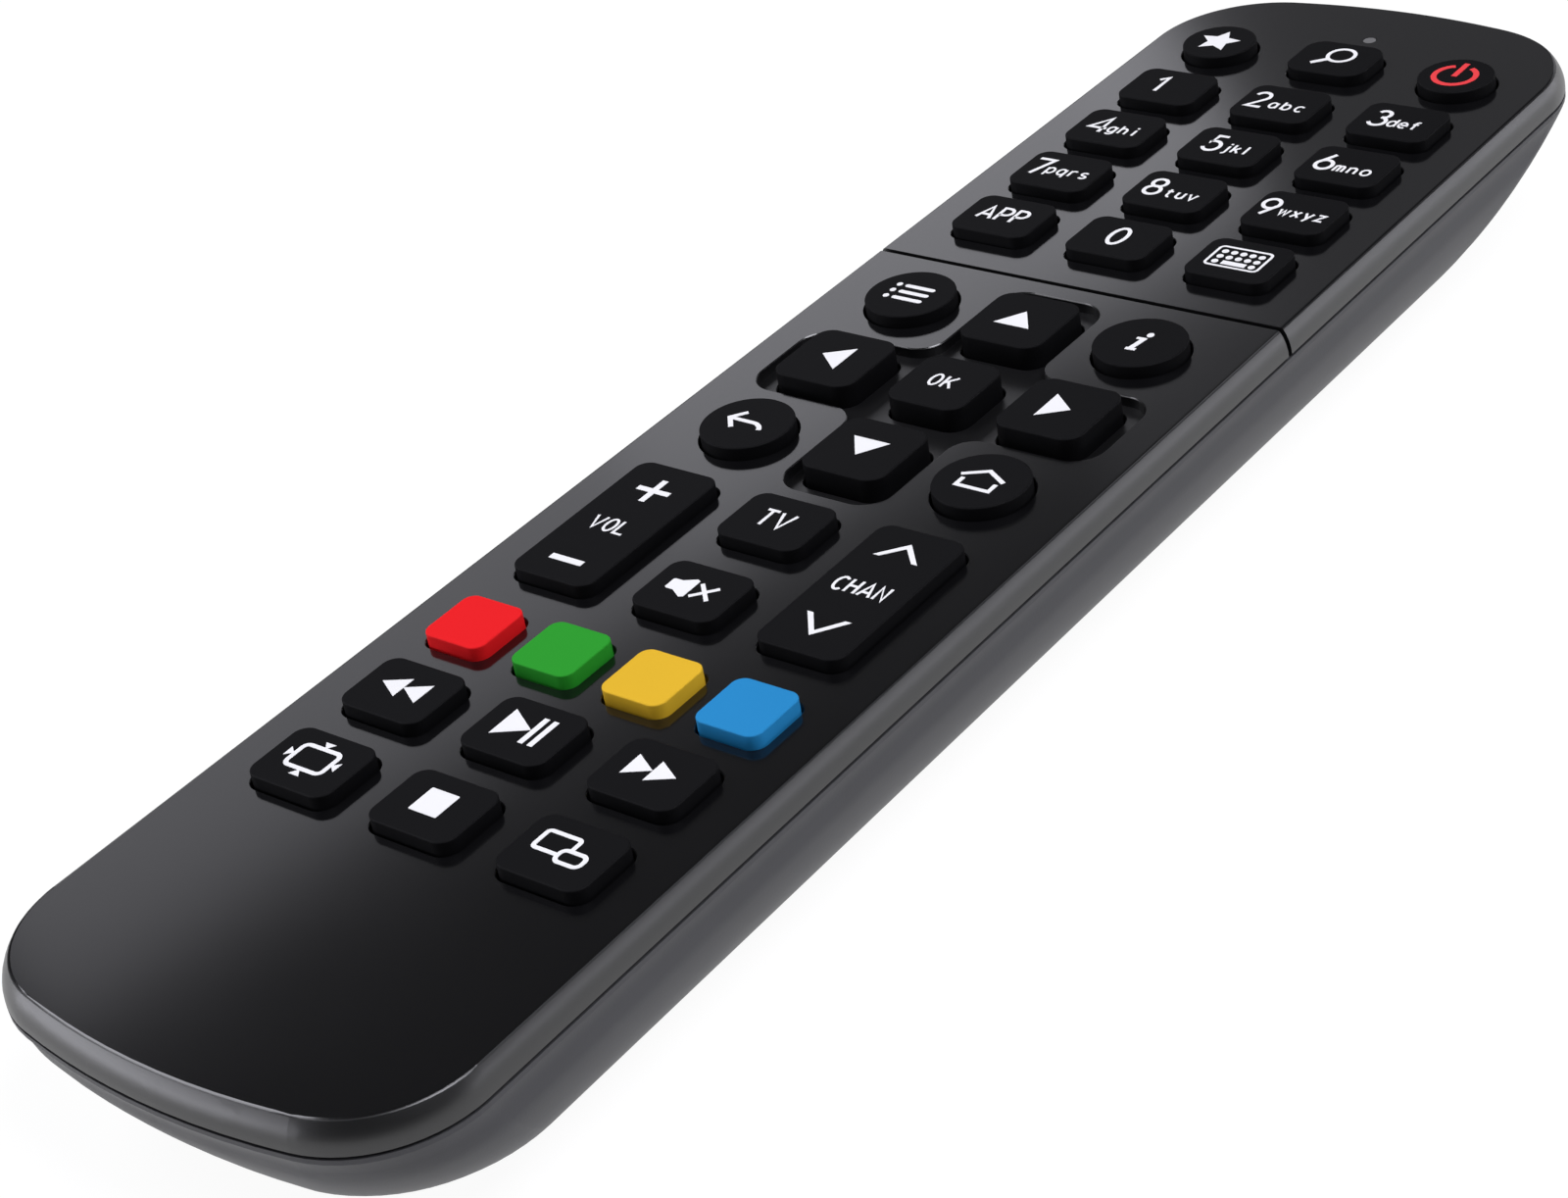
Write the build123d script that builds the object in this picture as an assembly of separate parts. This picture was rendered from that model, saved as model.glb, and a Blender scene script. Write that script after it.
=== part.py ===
from build123d import *
from math import acos, atan2, cos, pi, radians, sin, sqrt, tan
import os

# A hand-held remote control for a television box, in millimetres.
# +Y runs to the front end with the infrared window, +Z up out of the key face.
# The origin is the middle of the flat underside that the remote rests on.

# Plan of the case
body_length = 214.0
body_width = 52.3
front_end_radius = 79.0
rear_end_radius = 83.0
front_corner = 14.4
rear_corner = 12.7

# Cells, door and boards, from the underside up
door_thickness = 1.2
cell_diameter = 10.5
cell_length = 44.5
cell_clearance = 0.15
bay_roof = 0.6
board_thickness = 1.0

# Keys, from the board up
key_travel = 0.8
pill_spare = 0.1
pill_thickness = 0.4
pad_stem = 0.4
flange_thickness = 0.7
flange_gap = 0.1
recess_floor = 1.2
recess_depth = 1.15
key_proud = 1.33

# Case walls
shell_wall = 1.6
cover_plate = 1.5
cover_wall = 1.7
band_height = 2.85
band_lean = 35.6
band_side_inset = 0.92
band_end_inset = 1.27
band_sections = 5
cover_edge_round = 0.4
strip_height = 0.85
parting_gap = 0.35
parting_depth = 0.7
lip_thickness = 0.8
lip_gap = 0.12
lip_depth = 1.1
lip_rear_margin = 25.0
lip_front_margin = 30.0
lip_split_margin = 4.0
snap_margin = 10.0
snap_proud = 0.35
snap_length = 3.0
snap_height = 0.5
snap_rise = 0.1
snap_gap = 0.1

# Curved underside of the lower case
side_round = 13.7
rear_round = 20.1
bow_slope = 29.5
bow_round = 25.0
front_corner_growth = 8.0
rear_corner_growth = 4.0
corner_share = 0.88
lower_sections = 10

# Split between the two covers
split_gap = 0.65
tongue_length = 2.0
tongue_thickness = 0.6
tongue_clearance = 0.1
tongue_side = 0.9

# Key sizes
key_width = 10.0
key_depth = 8.1
key_corner = 1.6
search_corner = 2.3
round_key = 8.8
nav_round_key = 9.95
arrow_key = 10.05
arrow_corner = 1.9
ok_key = 9.3
colour_key = 7.35
colour_corner = 1.3
key_edge_round = 0.15
key_gap = 0.25
hole_edge = 0.1
least_corner = 0.3
flange_width = 0.6
stem_inset = 1.4
pill_inset = 0.7

# Key places: each row is set out from the row before it
column_pitch = 15.0
top_row_column = 15.6
top_row_setback = 17.95
number_gap = 12.75
number_pitch = 11.55
split_setback = 9.35
pad_setback = 23.9
arrow_pitch = 13.9
round_nav_pitch = 14.45
television_setback = 28.45
mute_pitch = 13.12
rocker_setback = 6.56
colour_setback = 12.9
colour_pitch = 11.0
transport_setback = 11.6
transport_pitch = 12.13

# Navigation recess
recess_arm_length = 42.65
recess_arm_width = 12.8
recess_outer_corner = 3.2
recess_inner_corner = 3.0
recess_wall = 1.2

# Rocker keys
rocker_angle = 3.3
rocker_drop = 0.7
rocker_length = 21.2
rocker_stem_place = 6.0
rocker_stem_length = 4.0
rocker_collar_gap = 0.25
fulcrum_width = 1.2
fulcrum_gap = 0.1

# Rubber mat
mat_thickness = 0.6
collar_gap = 0.15
collar_wall = 0.5
collar_drop = 0.1
inside_gap = 0.6

# Circuit board
board_rear_margin = 5.0
board_front_gap = 0.8
post_radius = 2.0
post_side_inset = 8.2
post_places = (84.0, 40.0, -4.0)

# Battery bay and door
bay_wall = 1.0
bay_rear_margin = 29.0
bay_end_room = 2.6
bay_side_gap = 0.6
cell_gap = 0.2
cell_edge_round = 0.5
nub_radius = 1.9
nub_height = 0.8
door_gap = 0.15
door_overlap = 0.9
door_end_overlap = 1.0
door_lift = 0.05
door_corner = 1.2
hook_length = 0.8
hook_root = 2.4
hook_thickness = 0.7
hook_width = 4.0
hook_place = 7.0
hook_room = 0.35
hook_under_gap = 0.2
hook_swing = 1.6
latch_width = 9.0
latch_length = 7.0
latch_slot = 0.7
thumb_notch_radius = 5.5
thumb_notch_depth = 0.8
grip_count = 4
grip_width = 6.6
grip_depth = 0.3
grip_pitch = 1.4
grip_setback = 1.6

# Battery contacts
contact_thickness = 0.35
contact_width = 8.6
contact_height = 8.0
spring_wire = 0.5
spring_top_radius = 1.7
spring_base_radius = 3.2
spring_turns = 4
contact_gap = 0.03
contact_seat = 0.02
tail_width = 2.0
tail_gap = 0.3

# Case screws
screw_column = 7.5
screw_radius = 0.95
screw_head_radius = 1.75
screw_head_height = 1.0
screw_bite = 1.8
screw_clearance = 0.12
screw_tip_margin = 0.8
bore_tip_margin = 0.3
cross_reach = 1.1
cross_half_width = 0.2
cross_depth = 0.45
boss_radius = 1.6
boss_foot_gap = 0.1
boss_gap = 0.3
screw_setback = 2.4

# Infrared end
window_half_width = 9.0
window_height = 1.7
window_wall = 1.5
window_bow = 1.0
window_gap = 0.1
emitter_radius = 1.45
emitter_length = 5.6
emitter_flange = 0.35
emitter_flange_proud = 0.1
emitter_tip_round = 1.3
emitter_top_gap = 0.15
emitter_column = 5.5
emitter_setback = 6.6
emitter_lead = 0.5
emitter_lead_pitch = 1.27

# Status light
light_setback = 9.8
light_radius = 0.75
light_gap = 0.08
light_foot_width = 2.4
light_foot_length = 4.2
light_foot_gap = 0.2
light_foot_top_gap = 0.05
status_chip_length = 1.6
status_chip_width = 0.8
status_chip_height = 0.7

# Parts on the board
controller_size = 7.0
controller_height = 1.2
controller_leads = 8
controller_lead_width = 0.35
controller_lead_pitch = 0.65
controller_lead_reach = 1.0
controller_lead_thickness = 0.2
controller_standoff = 0.1
controller_place = 22.0
crystal_length = 3.2
crystal_width = 2.5
crystal_height = 0.8
crystal_offset = 8.0
capacitor_radius = 2.5
capacitor_length = 7.0
capacitor_offset = 16.0
capacitor_lead = 0.5
capacitor_lead_offset = 1.0
capacitor_lead_reach = 1.2
capacitor_edge_round = 0.3
chip_length = 1.6
chip_width = 0.8
chip_height = 0.5
chip_pitch = 3.0
chip_rows = 5
chip_offset = 14.0
transistor_length = 2.9
transistor_width = 1.3
transistor_height = 1.0
transistor_setback = 9.0

# How far a cut runs past a face, and how far joined forms overlap
overshoot = 1.0
overlap = 0.02

# Levels, from the underside up
cell_axis = door_thickness + cell_clearance + cell_diameter / 2
bay_ceiling = door_thickness + 2 * cell_clearance + cell_diameter
board_bottom = bay_ceiling + bay_roof
board_top = board_bottom + board_thickness
mat_top = board_top + mat_thickness
pill_bottom = board_top + key_travel + pill_spare
pad_flange_bottom = pill_bottom + pill_thickness + pad_stem
pad_flange_top = pad_flange_bottom + flange_thickness
recess_under = pad_flange_top + flange_gap
recess_face = recess_under + recess_floor
cover_face = recess_face + recess_depth
cover_under = cover_face - cover_plate
key_top = cover_face + key_proud
parting = cover_face - band_height
strip_bottom = parting - strip_height
flange_top = cover_under - flange_gap
rocker_flange_top = cover_under - rocker_drop

# Places along the remote
half_width = body_width / 2
front_y = body_length / 2
rear_y = -body_length / 2
top_row_y = front_y - top_row_setback
number_y = [top_row_y - number_gap - number_pitch * row for row in range(4)]
split_y = number_y[-1] - split_setback
pad_y = split_y - pad_setback
television_y = pad_y - television_setback
rocker_y = television_y - rocker_setback
mute_y = television_y - mute_pitch
colour_y = mute_y - colour_setback
transport_y = colour_y - transport_setback
picture_y = transport_y - transport_pitch
light_y = front_y - light_setback
bay_rear = rear_y + bay_rear_margin
bay_length = cell_length + 2 * bay_end_room
bay_front = bay_rear + bay_length
bay_half = cell_diameter + cell_gap / 2 + bay_side_gap / 2
cell_x = (cell_diameter + cell_gap) / 2
screw_x = (-screw_column, screw_column)
screw_y = bay_front + bay_wall + screw_setback
door_front = screw_y + screw_head_radius + door_end_overlap
door_rear = bay_rear - door_end_overlap
door_half = bay_half + door_overlap
door_plate = door_thickness - 2 * door_lift
hook_bottom = door_thickness - 2 * door_lift
screw_seat = bay_ceiling - screw_bite
lip_rear = rear_y + lip_rear_margin
lip_front = front_y - lip_front_margin
lip_outer = half_width - shell_wall - lip_gap
wall_root = shell_wall / 2
board_rear = picture_y - key_depth / 2 - board_rear_margin


def at(x, y, z, shape):
    return Pos(x, y, z) * shape


def block(x0, x1, y0, y1, z0, z1):
    box = Box(x1 - x0, y1 - y0, z1 - z0)
    return Pos((x0 + x1) / 2, (y0 + y1) / 2, (z0 + z1) / 2) * box


def rod(radius, z0, z1, x=0.0, y=0.0):
    return Pos(x, y, (z0 + z1) / 2) * Cylinder(radius, z1 - z0)


def end_arcs(half, end, radius, corner, side):
    """Start of a corner arc, its end on the bowed end, and its middle point."""
    centre = end - side * radius
    rise = sqrt((radius - corner) ** 2 - (half - corner) ** 2)
    angle = atan2(rise, half - corner)
    touch = (radius * cos(angle), centre + side * radius * sin(angle))
    middle = (
        half - corner + corner * cos(angle / 2),
        centre + side * (rise + corner * sin(angle / 2)),
    )
    return centre + side * rise, touch, middle


def plan(half, rear, front, rear_radius, front_radius, corner_rear, corner_front):
    """The remote's outline: straight sides, bowed ends, round corners."""
    front_start, front_touch, front_mid = end_arcs(half, front, front_radius, corner_front, 1)
    rear_start, rear_touch, rear_mid = end_arcs(half, rear, rear_radius, corner_rear, -1)

    def left(point):
        return (-point[0], point[1])

    edges = [
        Line((half, rear_start), (half, front_start)),
        ThreePointArc((half, front_start), front_mid, front_touch),
        ThreePointArc(front_touch, (0, front), left(front_touch)),
        ThreePointArc(left(front_touch), left(front_mid), (-half, front_start)),
        Line((-half, front_start), (-half, rear_start)),
        ThreePointArc((-half, rear_start), left(rear_mid), left(rear_touch)),
        ThreePointArc(left(rear_touch), (0, rear), rear_touch),
        ThreePointArc(rear_touch, rear_mid, (half, rear_start)),
    ]
    return make_face(edges)


def case_plan(inset, end_inset=None):
    """The outline at the parting line, drawn in by a wall."""
    ends = inset if end_inset is None else end_inset
    return plan(
        half_width - inset, rear_y + ends, front_y - ends, rear_end_radius - ends,
        front_end_radius - ends, rear_corner - inset, front_corner - inset,
    )


def cover_solid():
    """Both covers as one closed form, with the bulged band round the edge."""
    bulge = band_height / sin(radians(band_lean))
    sections = []
    for step in range(band_sections):
        angle = radians(band_lean) * step / (band_sections - 1)
        share = (1 - cos(angle)) / (1 - cos(radians(band_lean)))
        face = case_plan(band_side_inset * share, band_end_inset * share)
        sections.append(at(0, 0, parting + bulge * sin(angle), face))
    solid = loft(sections)
    rim = solid.faces().sort_by(Axis.Z)[-1].edges()
    return fillet(rim, cover_edge_round)


def arc_inset(radius, left):
    """How far an arc that ends flat on the underside stands in at a height."""
    if left >= radius:
        return 0.0
    return radius - sqrt(radius ** 2 - (radius - left) ** 2)


def lower_plan(left, wall):
    """Outline of the lower case a given height above its underside, drawn in by a wall."""
    height = strip_bottom
    depth = height - left
    side = arc_inset(side_round, left)
    rear = arc_inset(rear_round, left) - arc_inset(rear_round, height)
    slope = radians(bow_slope)
    toe = height / tan(slope) + bow_round * tan(slope / 2)
    if left > bow_round * (1 - cos(slope)):
        bow = depth / tan(slope)
    else:
        bow = toe - bow_round * sin(acos(1 - left / bow_round))
    sunk = depth / height
    half = half_width - side - wall
    most = corner_share * half
    return plan(
        half, rear_y + rear + wall, front_y - max(bow, wall), rear_end_radius, front_end_radius,
        min(rear_corner + rear_corner_growth * sunk - wall, most),
        min(front_corner + front_corner_growth * sunk - wall, most),
    )


def lower_form(wall):
    """The lower case as a smooth form, or its hollow when drawn in by a wall."""
    sections = []
    for step in range(lower_sections):
        left = strip_bottom * (1 - sin(pi / 2 * step / (lower_sections - 1)))
        sections.append(at(0, 0, left + wall, lower_plan(left, wall)))
    return loft(sections)


def pad(width, depth, corner, grow=0.0):
    """A key's plan, larger by a margin all round."""
    if corner * 2 >= width:
        return Circle(width / 2 + grow)
    return RectangleRounded(width + 2 * grow, depth + 2 * grow, max(corner + grow, least_corner))


def key_list():
    """Every key: name, place, width, depth, corner radius."""
    small = (key_width, key_depth, key_corner)
    colour = (colour_key, colour_key, colour_corner)
    arrow = (arrow_key, arrow_key, arrow_corner)
    rocker = (key_width, rocker_length, key_corner)
    top_round = (round_key, round_key, round_key / 2)
    nav_round = (nav_round_key, nav_round_key, nav_round_key / 2)
    keys = {
        "key_star": (-top_row_column, top_row_y, *top_round),
        "key_search": (0, top_row_y, key_width, key_depth, search_corner),
        "key_power": (top_row_column, top_row_y, *top_round),
    }
    rows = (("1", "2", "3"), ("4", "5", "6"), ("7", "8", "9"), ("app", "0", "keyboard"))
    for y, names in zip(number_y, rows):
        for column, name in enumerate(names):
            keys["key_" + name] = ((column - 1) * column_pitch, y, *small)
    for name, sx, sy in (("menu", -1, 1), ("info", 1, 1), ("back", -1, -1), ("home", 1, -1)):
        keys["key_" + name] = (sx * round_nav_pitch, pad_y + sy * round_nav_pitch, *nav_round)
    for name, sx, sy in (("up", 0, 1), ("left", -1, 0), ("right", 1, 0), ("down", 0, -1)):
        keys["key_" + name] = (sx * arrow_pitch, pad_y + sy * arrow_pitch, *arrow)
    keys["key_ok"] = (0, pad_y, ok_key, ok_key, arrow_corner)
    keys["key_volume"] = (-column_pitch, rocker_y, *rocker)
    keys["key_channel"] = (column_pitch, rocker_y, *rocker)
    keys["key_tv"] = (0, television_y, *small)
    keys["key_mute"] = (0, mute_y, *small)
    for step, name in enumerate(("red", "green", "yellow", "blue")):
        keys["key_" + name] = ((step - 1.5) * colour_pitch, colour_y, *colour)
    rows = (("rewind", "play_pause", "fast_forward"), ("aspect", "stop", "picture_in_picture"))
    for y, names in zip((transport_y, picture_y), rows):
        for column, name in enumerate(names):
            keys["key_" + name] = ((column - 1) * column_pitch, y, *small)
    return keys


keys = key_list()
recess_keys = ("key_up", "key_left", "key_ok", "key_right", "key_down")
rocker_keys = ("key_volume", "key_channel")


def key_levels(name):
    """Top of the key's flange and top of the mat's collar round its stem."""
    if name in recess_keys:
        return pad_flange_top, pad_flange_bottom - key_travel - collar_drop
    if name in rocker_keys:
        dip = (rocker_length / 2 + flange_width) * sin(radians(rocker_angle))
        return rocker_flange_top, rocker_flange_top - flange_thickness - dip - collar_drop
    return flange_top, flange_top - flange_thickness - key_travel - collar_drop


def stem_plans(name, grow):
    """Plans of a key's stems, one for a push key and two for a rocker."""
    x, y, width, depth, corner = keys[name]
    if name in rocker_keys:
        low = pad(width - 2 * stem_inset, rocker_stem_length, corner / 2, grow)
        return [at(x, y + side * rocker_stem_place, 0, low) for side in (-1, 1)]
    return [at(x, y, 0, pad(width, depth, corner, grow - stem_inset))]


def prism(face, z0, z1):
    return extrude(at(0, 0, z0, face), z1 - z0, dir=(0, 0, 1))


def key_solids(name):
    """Cap, hidden flange and stem in one, with its carbon pill below."""
    x, y, width, depth, corner = keys[name]
    top, _ = key_levels(name)
    bottom = top - flange_thickness
    cap = prism(at(x, y, 0, pad(width, depth, corner)), bottom, key_top)
    cap = fillet(cap.faces().sort_by(Axis.Z)[-1].edges(), key_edge_round)
    solid = cap + prism(at(x, y, 0, pad(width, depth, corner, flange_width)), bottom, top)
    base = pill_bottom
    if name in rocker_keys:
        reach = rocker_stem_place + rocker_stem_length / 2
        base = board_top + reach * sin(radians(rocker_angle)) + pill_spare
    pills = []
    for stem in stem_plans(name, 0.0):
        solid += prism(stem, base + pill_thickness, bottom)
    for stem in stem_plans(name, -pill_inset):
        pills.append(prism(stem, base, base + pill_thickness))
    return [solid, *pills]


def plus_outline(grow):
    """Plan of the plus-shaped navigation recess."""
    reach = recess_arm_length + 2 * grow
    side = recess_arm_width + 2 * grow
    shape = Rectangle(reach, side) + Rectangle(side, reach)
    inner = shape.vertices().sort_by_distance((0, 0, 0))[:4]
    shape = fillet(inner, recess_inner_corner - grow)
    outer = shape.vertices().sort_by_distance((0, 0, 0))[-8:]
    return at(0, pad_y, 0, fillet(outer, recess_outer_corner + grow))


def opening(face, grown, floor_z, face_z):
    """A hole through a cover or its recess, with the rim eased."""
    rim = loft([at(0, 0, face_z - hole_edge, face), at(0, 0, face_z, grown)])
    return prism(face, floor_z - overshoot, face_z + overshoot).fuse(rim)


def key_openings():
    """The hole for every key, a running gap larger than its cap."""
    holes = []
    for name, (x, y, width, depth, corner) in keys.items():
        low, high = cover_under, cover_face
        if name in recess_keys:
            low, high = recess_under, recess_face
        face = at(x, y, 0, pad(width, depth, corner, key_gap))
        grown = at(x, y, 0, pad(width, depth, corner, key_gap + hole_edge))
        holes.append(opening(face, grown, low, high))
    return holes


def whole_cover():
    """Both covers before they are parted: bulged edge, hollow, recess and holes."""
    body = cover_solid().cut(prism(case_plan(cover_wall), parting - overshoot, cover_under))
    body = body.fuse(prism(plus_outline(recess_wall), recess_under, cover_under + overlap))
    recess = opening(plus_outline(0.0), plus_outline(hole_edge), recess_face + overshoot, cover_face)
    return body.cut(recess, *key_openings())


def cover_part(whole, y0, y1):
    """The stretch of the whole cover between two places along the remote."""
    wide = half_width + overshoot
    return whole & block(-wide, wide, y0, y1, parting - overshoot, cover_face + overshoot)


def split_tongue(front_edge, rear_edge):
    """The rear cover's tongue under the split, and the room for it in the front cover."""
    wide = half_width + overshoot
    low = parting - overshoot
    top = cover_under + tongue_thickness
    end = front_edge + tongue_length
    slab = prism(case_plan(tongue_side), parting, top) - prism(case_plan(cover_wall), low, cover_under)
    tongue = slab & block(-wide, wide, rear_edge - tongue_clearance, end, low, top + overshoot)
    hollow = prism(case_plan(tongue_side - tongue_clearance), low, top + tongue_clearance)
    slot = block(-wide, wide, front_edge - overshoot, end + tongue_clearance, low, cover_face)
    return tongue, hollow & slot


def screw_bosses():
    """Bosses for the case screws under the rear cover, and the bores in them."""
    bore = screw_radius - screw_clearance / 2
    bosses = []
    bores = []
    for x in screw_x:
        bosses.append(rod(boss_radius, board_top + boss_foot_gap, cover_under + overlap, x, screw_y))
        bores.append(rod(bore, board_top - overshoot, cover_under - bore_tip_margin, x, screw_y))
    return bosses, bores


def top_covers():
    """Front and rear cover, with the rear one's tongue under the split."""
    whole = whole_cover()
    front_edge = split_y + split_gap / 2
    rear_edge = split_y - split_gap / 2
    tongue, room = split_tongue(front_edge, rear_edge)
    bosses, bores = screw_bosses()
    front_lips = side_lips(split_y + tongue_length + lip_split_margin, lip_front)
    rear_lips = side_lips(lip_rear, split_y - lip_split_margin)
    front = cover_part(whole, front_edge, front_y + overshoot).cut(room).fuse(*front_lips)
    rear = cover_part(whole, rear_y - overshoot, rear_edge).fuse(tongue, *rear_lips, *bosses).cut(*bores)
    light = rod(light_radius + light_gap, cover_under - overshoot, cover_face + overshoot, 0, light_y)
    return front.cut(window_form(window_gap), light), rear


def side_lips(y0, y1):
    """A lip down inside the case wall on each side, with two snap nubs."""
    lips = []
    for side in (-1, 1):
        x0, x1 = sorted((side * lip_outer, side * (lip_outer - lip_thickness)))
        lips.append(block(x0, x1, y0, y1, parting - lip_depth, cover_under + overlap))
        for y in (y0 + snap_margin, y1 - snap_margin):
            lips.append(snap_nub(side, y, 0.0))
    return lips


def snap_nub(side, y, gap):
    """A nub on the lip, or its pocket in the case wall when given a gap."""
    x0, x1 = sorted((side * (lip_outer - overlap), side * (lip_outer + snap_proud + gap)))
    low = parting - lip_depth + snap_rise
    half = snap_length / 2 + gap
    return block(x0, x1, y - half, y + half, low - gap, low + snap_height + gap)


def snap_places():
    rear_ends = (lip_rear, split_y - lip_split_margin)
    front_ends = (split_y + tongue_length + lip_split_margin, lip_front)
    places = []
    for y0, y1 in (rear_ends, front_ends):
        places += [y0 + snap_margin, y1 - snap_margin]
    return places


def window_form(grow):
    """The infrared window in the cover's front wall, or the room for it when grown by a gap."""
    half = window_half_width + grow
    low = parting - overshoot if grow else parting
    zone = block(
        -half, half, front_y - cover_wall - window_bow, front_y + overshoot,
        low, parting + window_height + grow,
    )
    if grow:
        return zone
    skin = cover_solid() - prism(case_plan(window_wall), low - overshoot, cover_face + overshoot)
    return skin & zone


def infrared_window():
    return window_form(0.0)


def bottom_shell():
    """Lower case: strip, curved underside, battery bay, board posts."""
    strip = prism(case_plan(0.0), strip_bottom, parting)
    form = lower_form(0.0)
    rim = prism(case_plan(0.0), parting - parting_gap, parting + overshoot)
    rim = rim.cut(prism(case_plan(parting_depth), strip_bottom, parting + 2 * overshoot))
    bay_block = block(
        -bay_half - bay_wall, bay_half + bay_wall, bay_rear - bay_wall,
        screw_y + screw_head_radius + bay_wall, wall_root, board_bottom,
    )
    posts = []
    for y in post_places:
        for side in (-1, 1):
            posts.append(rod(post_radius, 0, board_bottom, side * (half_width - post_side_inset), y))
    posts = [post & lower_form(wall_root) for post in posts]
    shell = strip.fuse(form).cut(rim, lower_form(shell_wall)).fuse(bay_block, *posts)
    cuts = [
        block(-bay_half, bay_half, bay_rear, bay_front, -overshoot, bay_ceiling),
        prism(door_plan(door_gap), -overshoot, door_thickness),
        door_nose(door_plate + door_gap, 2 * (door_half + door_gap)),
        at(0, door_rear, 0, Cylinder(thumb_notch_radius, 2 * thumb_notch_depth)),
    ]
    for x in screw_x:
        head_room = screw_head_radius + screw_clearance
        cuts.append(rod(screw_radius + screw_clearance, -overshoot, board_bottom + overshoot, x, screw_y))
        cuts.append(rod(head_room, -overshoot, screw_seat, x, screw_y))
    for x in (-hook_place, hook_place):
        cuts.append(block(
            x - hook_width / 2 - hook_room, x + hook_width / 2 + hook_room,
            door_front - hook_root - hook_room, door_front + hook_length + hook_room,
            hook_bottom - hook_under_gap, door_thickness + hook_thickness + hook_swing,
        ))
    for x in (-cell_x, cell_x):
        cuts.append(block(
            x - tail_width / 2 - tail_gap, x + tail_width / 2 + tail_gap,
            bay_front - contact_thickness - tail_gap, bay_front,
            bay_ceiling - overshoot, board_bottom + overshoot,
        ))
    for y in snap_places():
        for side in (-1, 1):
            cuts.append(snap_nub(side, y, snap_gap))
    return shell.cut(*cuts)


def door_nose(radius, width):
    """The rounded front edge that the door swings on, or the room for it."""
    roll = Rot(0, 90, 0) * Cylinder(radius, width)
    return at(0, door_front - door_plate, door_thickness - door_lift, roll)


def door_plan(grow):
    """Plan of the battery door, or of its recess when grown by a gap."""
    middle = (door_front + door_rear) / 2
    length = door_front - door_rear + 2 * grow
    return at(0, middle, 0, RectangleRounded(2 * (door_half + grow), length, door_corner + grow))


def battery_door():
    """Flush door: two hooks it swings on at the front, a sprung latch at the rear."""
    plate = prism(door_plan(0.0), door_lift, door_thickness - door_lift)
    hooks = []
    for x in (-hook_place, hook_place):
        hooks.append(block(
            x - hook_width / 2, x + hook_width / 2, door_front - hook_root, door_front + hook_length,
            hook_bottom, door_thickness + hook_thickness,
        ))
    edge = block(
        -half_width, half_width, door_front - door_plate, door_front + hook_length + overshoot,
        door_lift - overshoot, door_thickness - door_lift,
    )
    cuts = [edge.cut(door_nose(door_plate, body_width))]
    slot_end = door_rear + latch_length
    for side in (-1, 1):
        x = side * (latch_width + latch_slot) / 2
        cuts.append(block(
            x - latch_slot / 2, x + latch_slot / 2, door_rear - overshoot, slot_end,
            -overshoot, door_thickness + overshoot,
        ))
    for row in range(grip_count):
        y = door_rear + grip_setback + row * grip_pitch
        cuts.append(at(0, y, door_lift, Rot(0, 90, 0) * Cylinder(grip_depth, grip_width)))
    return plate.fuse(*hooks).cut(*cuts)


def case_screws():
    """Two self-tapping screws, reached with the battery door off."""
    solids = []
    head_low = screw_seat - screw_head_height
    low, high = head_low - overshoot, head_low + cross_depth
    shank_radius = screw_radius - screw_clearance
    for x in screw_x:
        head = rod(screw_head_radius, head_low, screw_seat, x, screw_y)
        for half_x, half_y in ((cross_half_width, cross_reach), (cross_reach, cross_half_width)):
            head -= block(x - half_x, x + half_x, screw_y - half_y, screw_y + half_y, low, high)
        shank = rod(shank_radius, screw_seat - overlap, cover_under - screw_tip_margin, x, screw_y)
        solids.append(head + shank)
    return solids


def board_plan(extra, rear):
    """Inside outline at board height, cut off square at the rear."""
    face = lower_plan(board_bottom - shell_wall, shell_wall + extra)
    return face & at(0, rear + body_length / 2, 0, Rectangle(body_width, body_length))


def screw_holes(radius, z0, z1):
    return [rod(radius, z0, z1, x, screw_y) for x in screw_x]


def circuit_board():
    board = prism(board_plan(board_front_gap, board_rear), board_bottom, board_top)
    return board.cut(*screw_holes(boss_radius + boss_gap, board_bottom - overshoot, board_top + overshoot))


def rocker_ridge(name):
    """The ridge that a rocker key tips over."""
    x, y, width, _, _ = keys[name]
    half = width / 2 - stem_inset
    top = rocker_flange_top - flange_thickness - fulcrum_gap
    return block(x - half, x + half, y - fulcrum_width / 2, y + fulcrum_width / 2, board_top, top)


def keypad_mat():
    """Silicone sheet on the board, with a soft collar round every key stem."""
    margin = board_front_gap + inside_gap
    sheet = prism(board_plan(margin, board_rear + inside_gap), board_top, mat_top)
    low = board_top - overshoot
    front = block(-half_width, half_width, light_y - light_foot_length, front_y, low, mat_top + overshoot)
    raised = [rocker_ridge(name) for name in rocker_keys]
    holes = [front, *screw_holes(boss_radius + boss_gap, low, cover_face)]
    for name in keys:
        _, collar_top = key_levels(name)
        gap = rocker_collar_gap if name in rocker_keys else collar_gap
        for stem in stem_plans(name, gap + collar_wall):
            raised.append(prism(stem, board_top, collar_top))
        for stem in stem_plans(name, gap):
            holes.append(prism(stem, low, cover_face))
    return sheet.fuse(*raised).cut(*holes)


def aaa_cell(side):
    """One cell lying along Y; the left one points forward, the right one back."""
    turn = -90 if side < 0 else 90
    middle = (bay_rear + bay_front) / 2
    shift = (bay_length - cell_length) / 2 - contact_seat - contact_thickness - contact_gap
    can = Cylinder(cell_diameter / 2, cell_length - nub_height)
    can = fillet(can.edges(), cell_edge_round)
    can = Pos(0, 0, -nub_height / 2) * can
    can += Pos(0, 0, cell_length / 2 - nub_height) * Cylinder(nub_radius, nub_height * 2)
    return at(side * cell_x, middle - side * shift, cell_axis, Rot(turn, 0, 0) * can)


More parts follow.
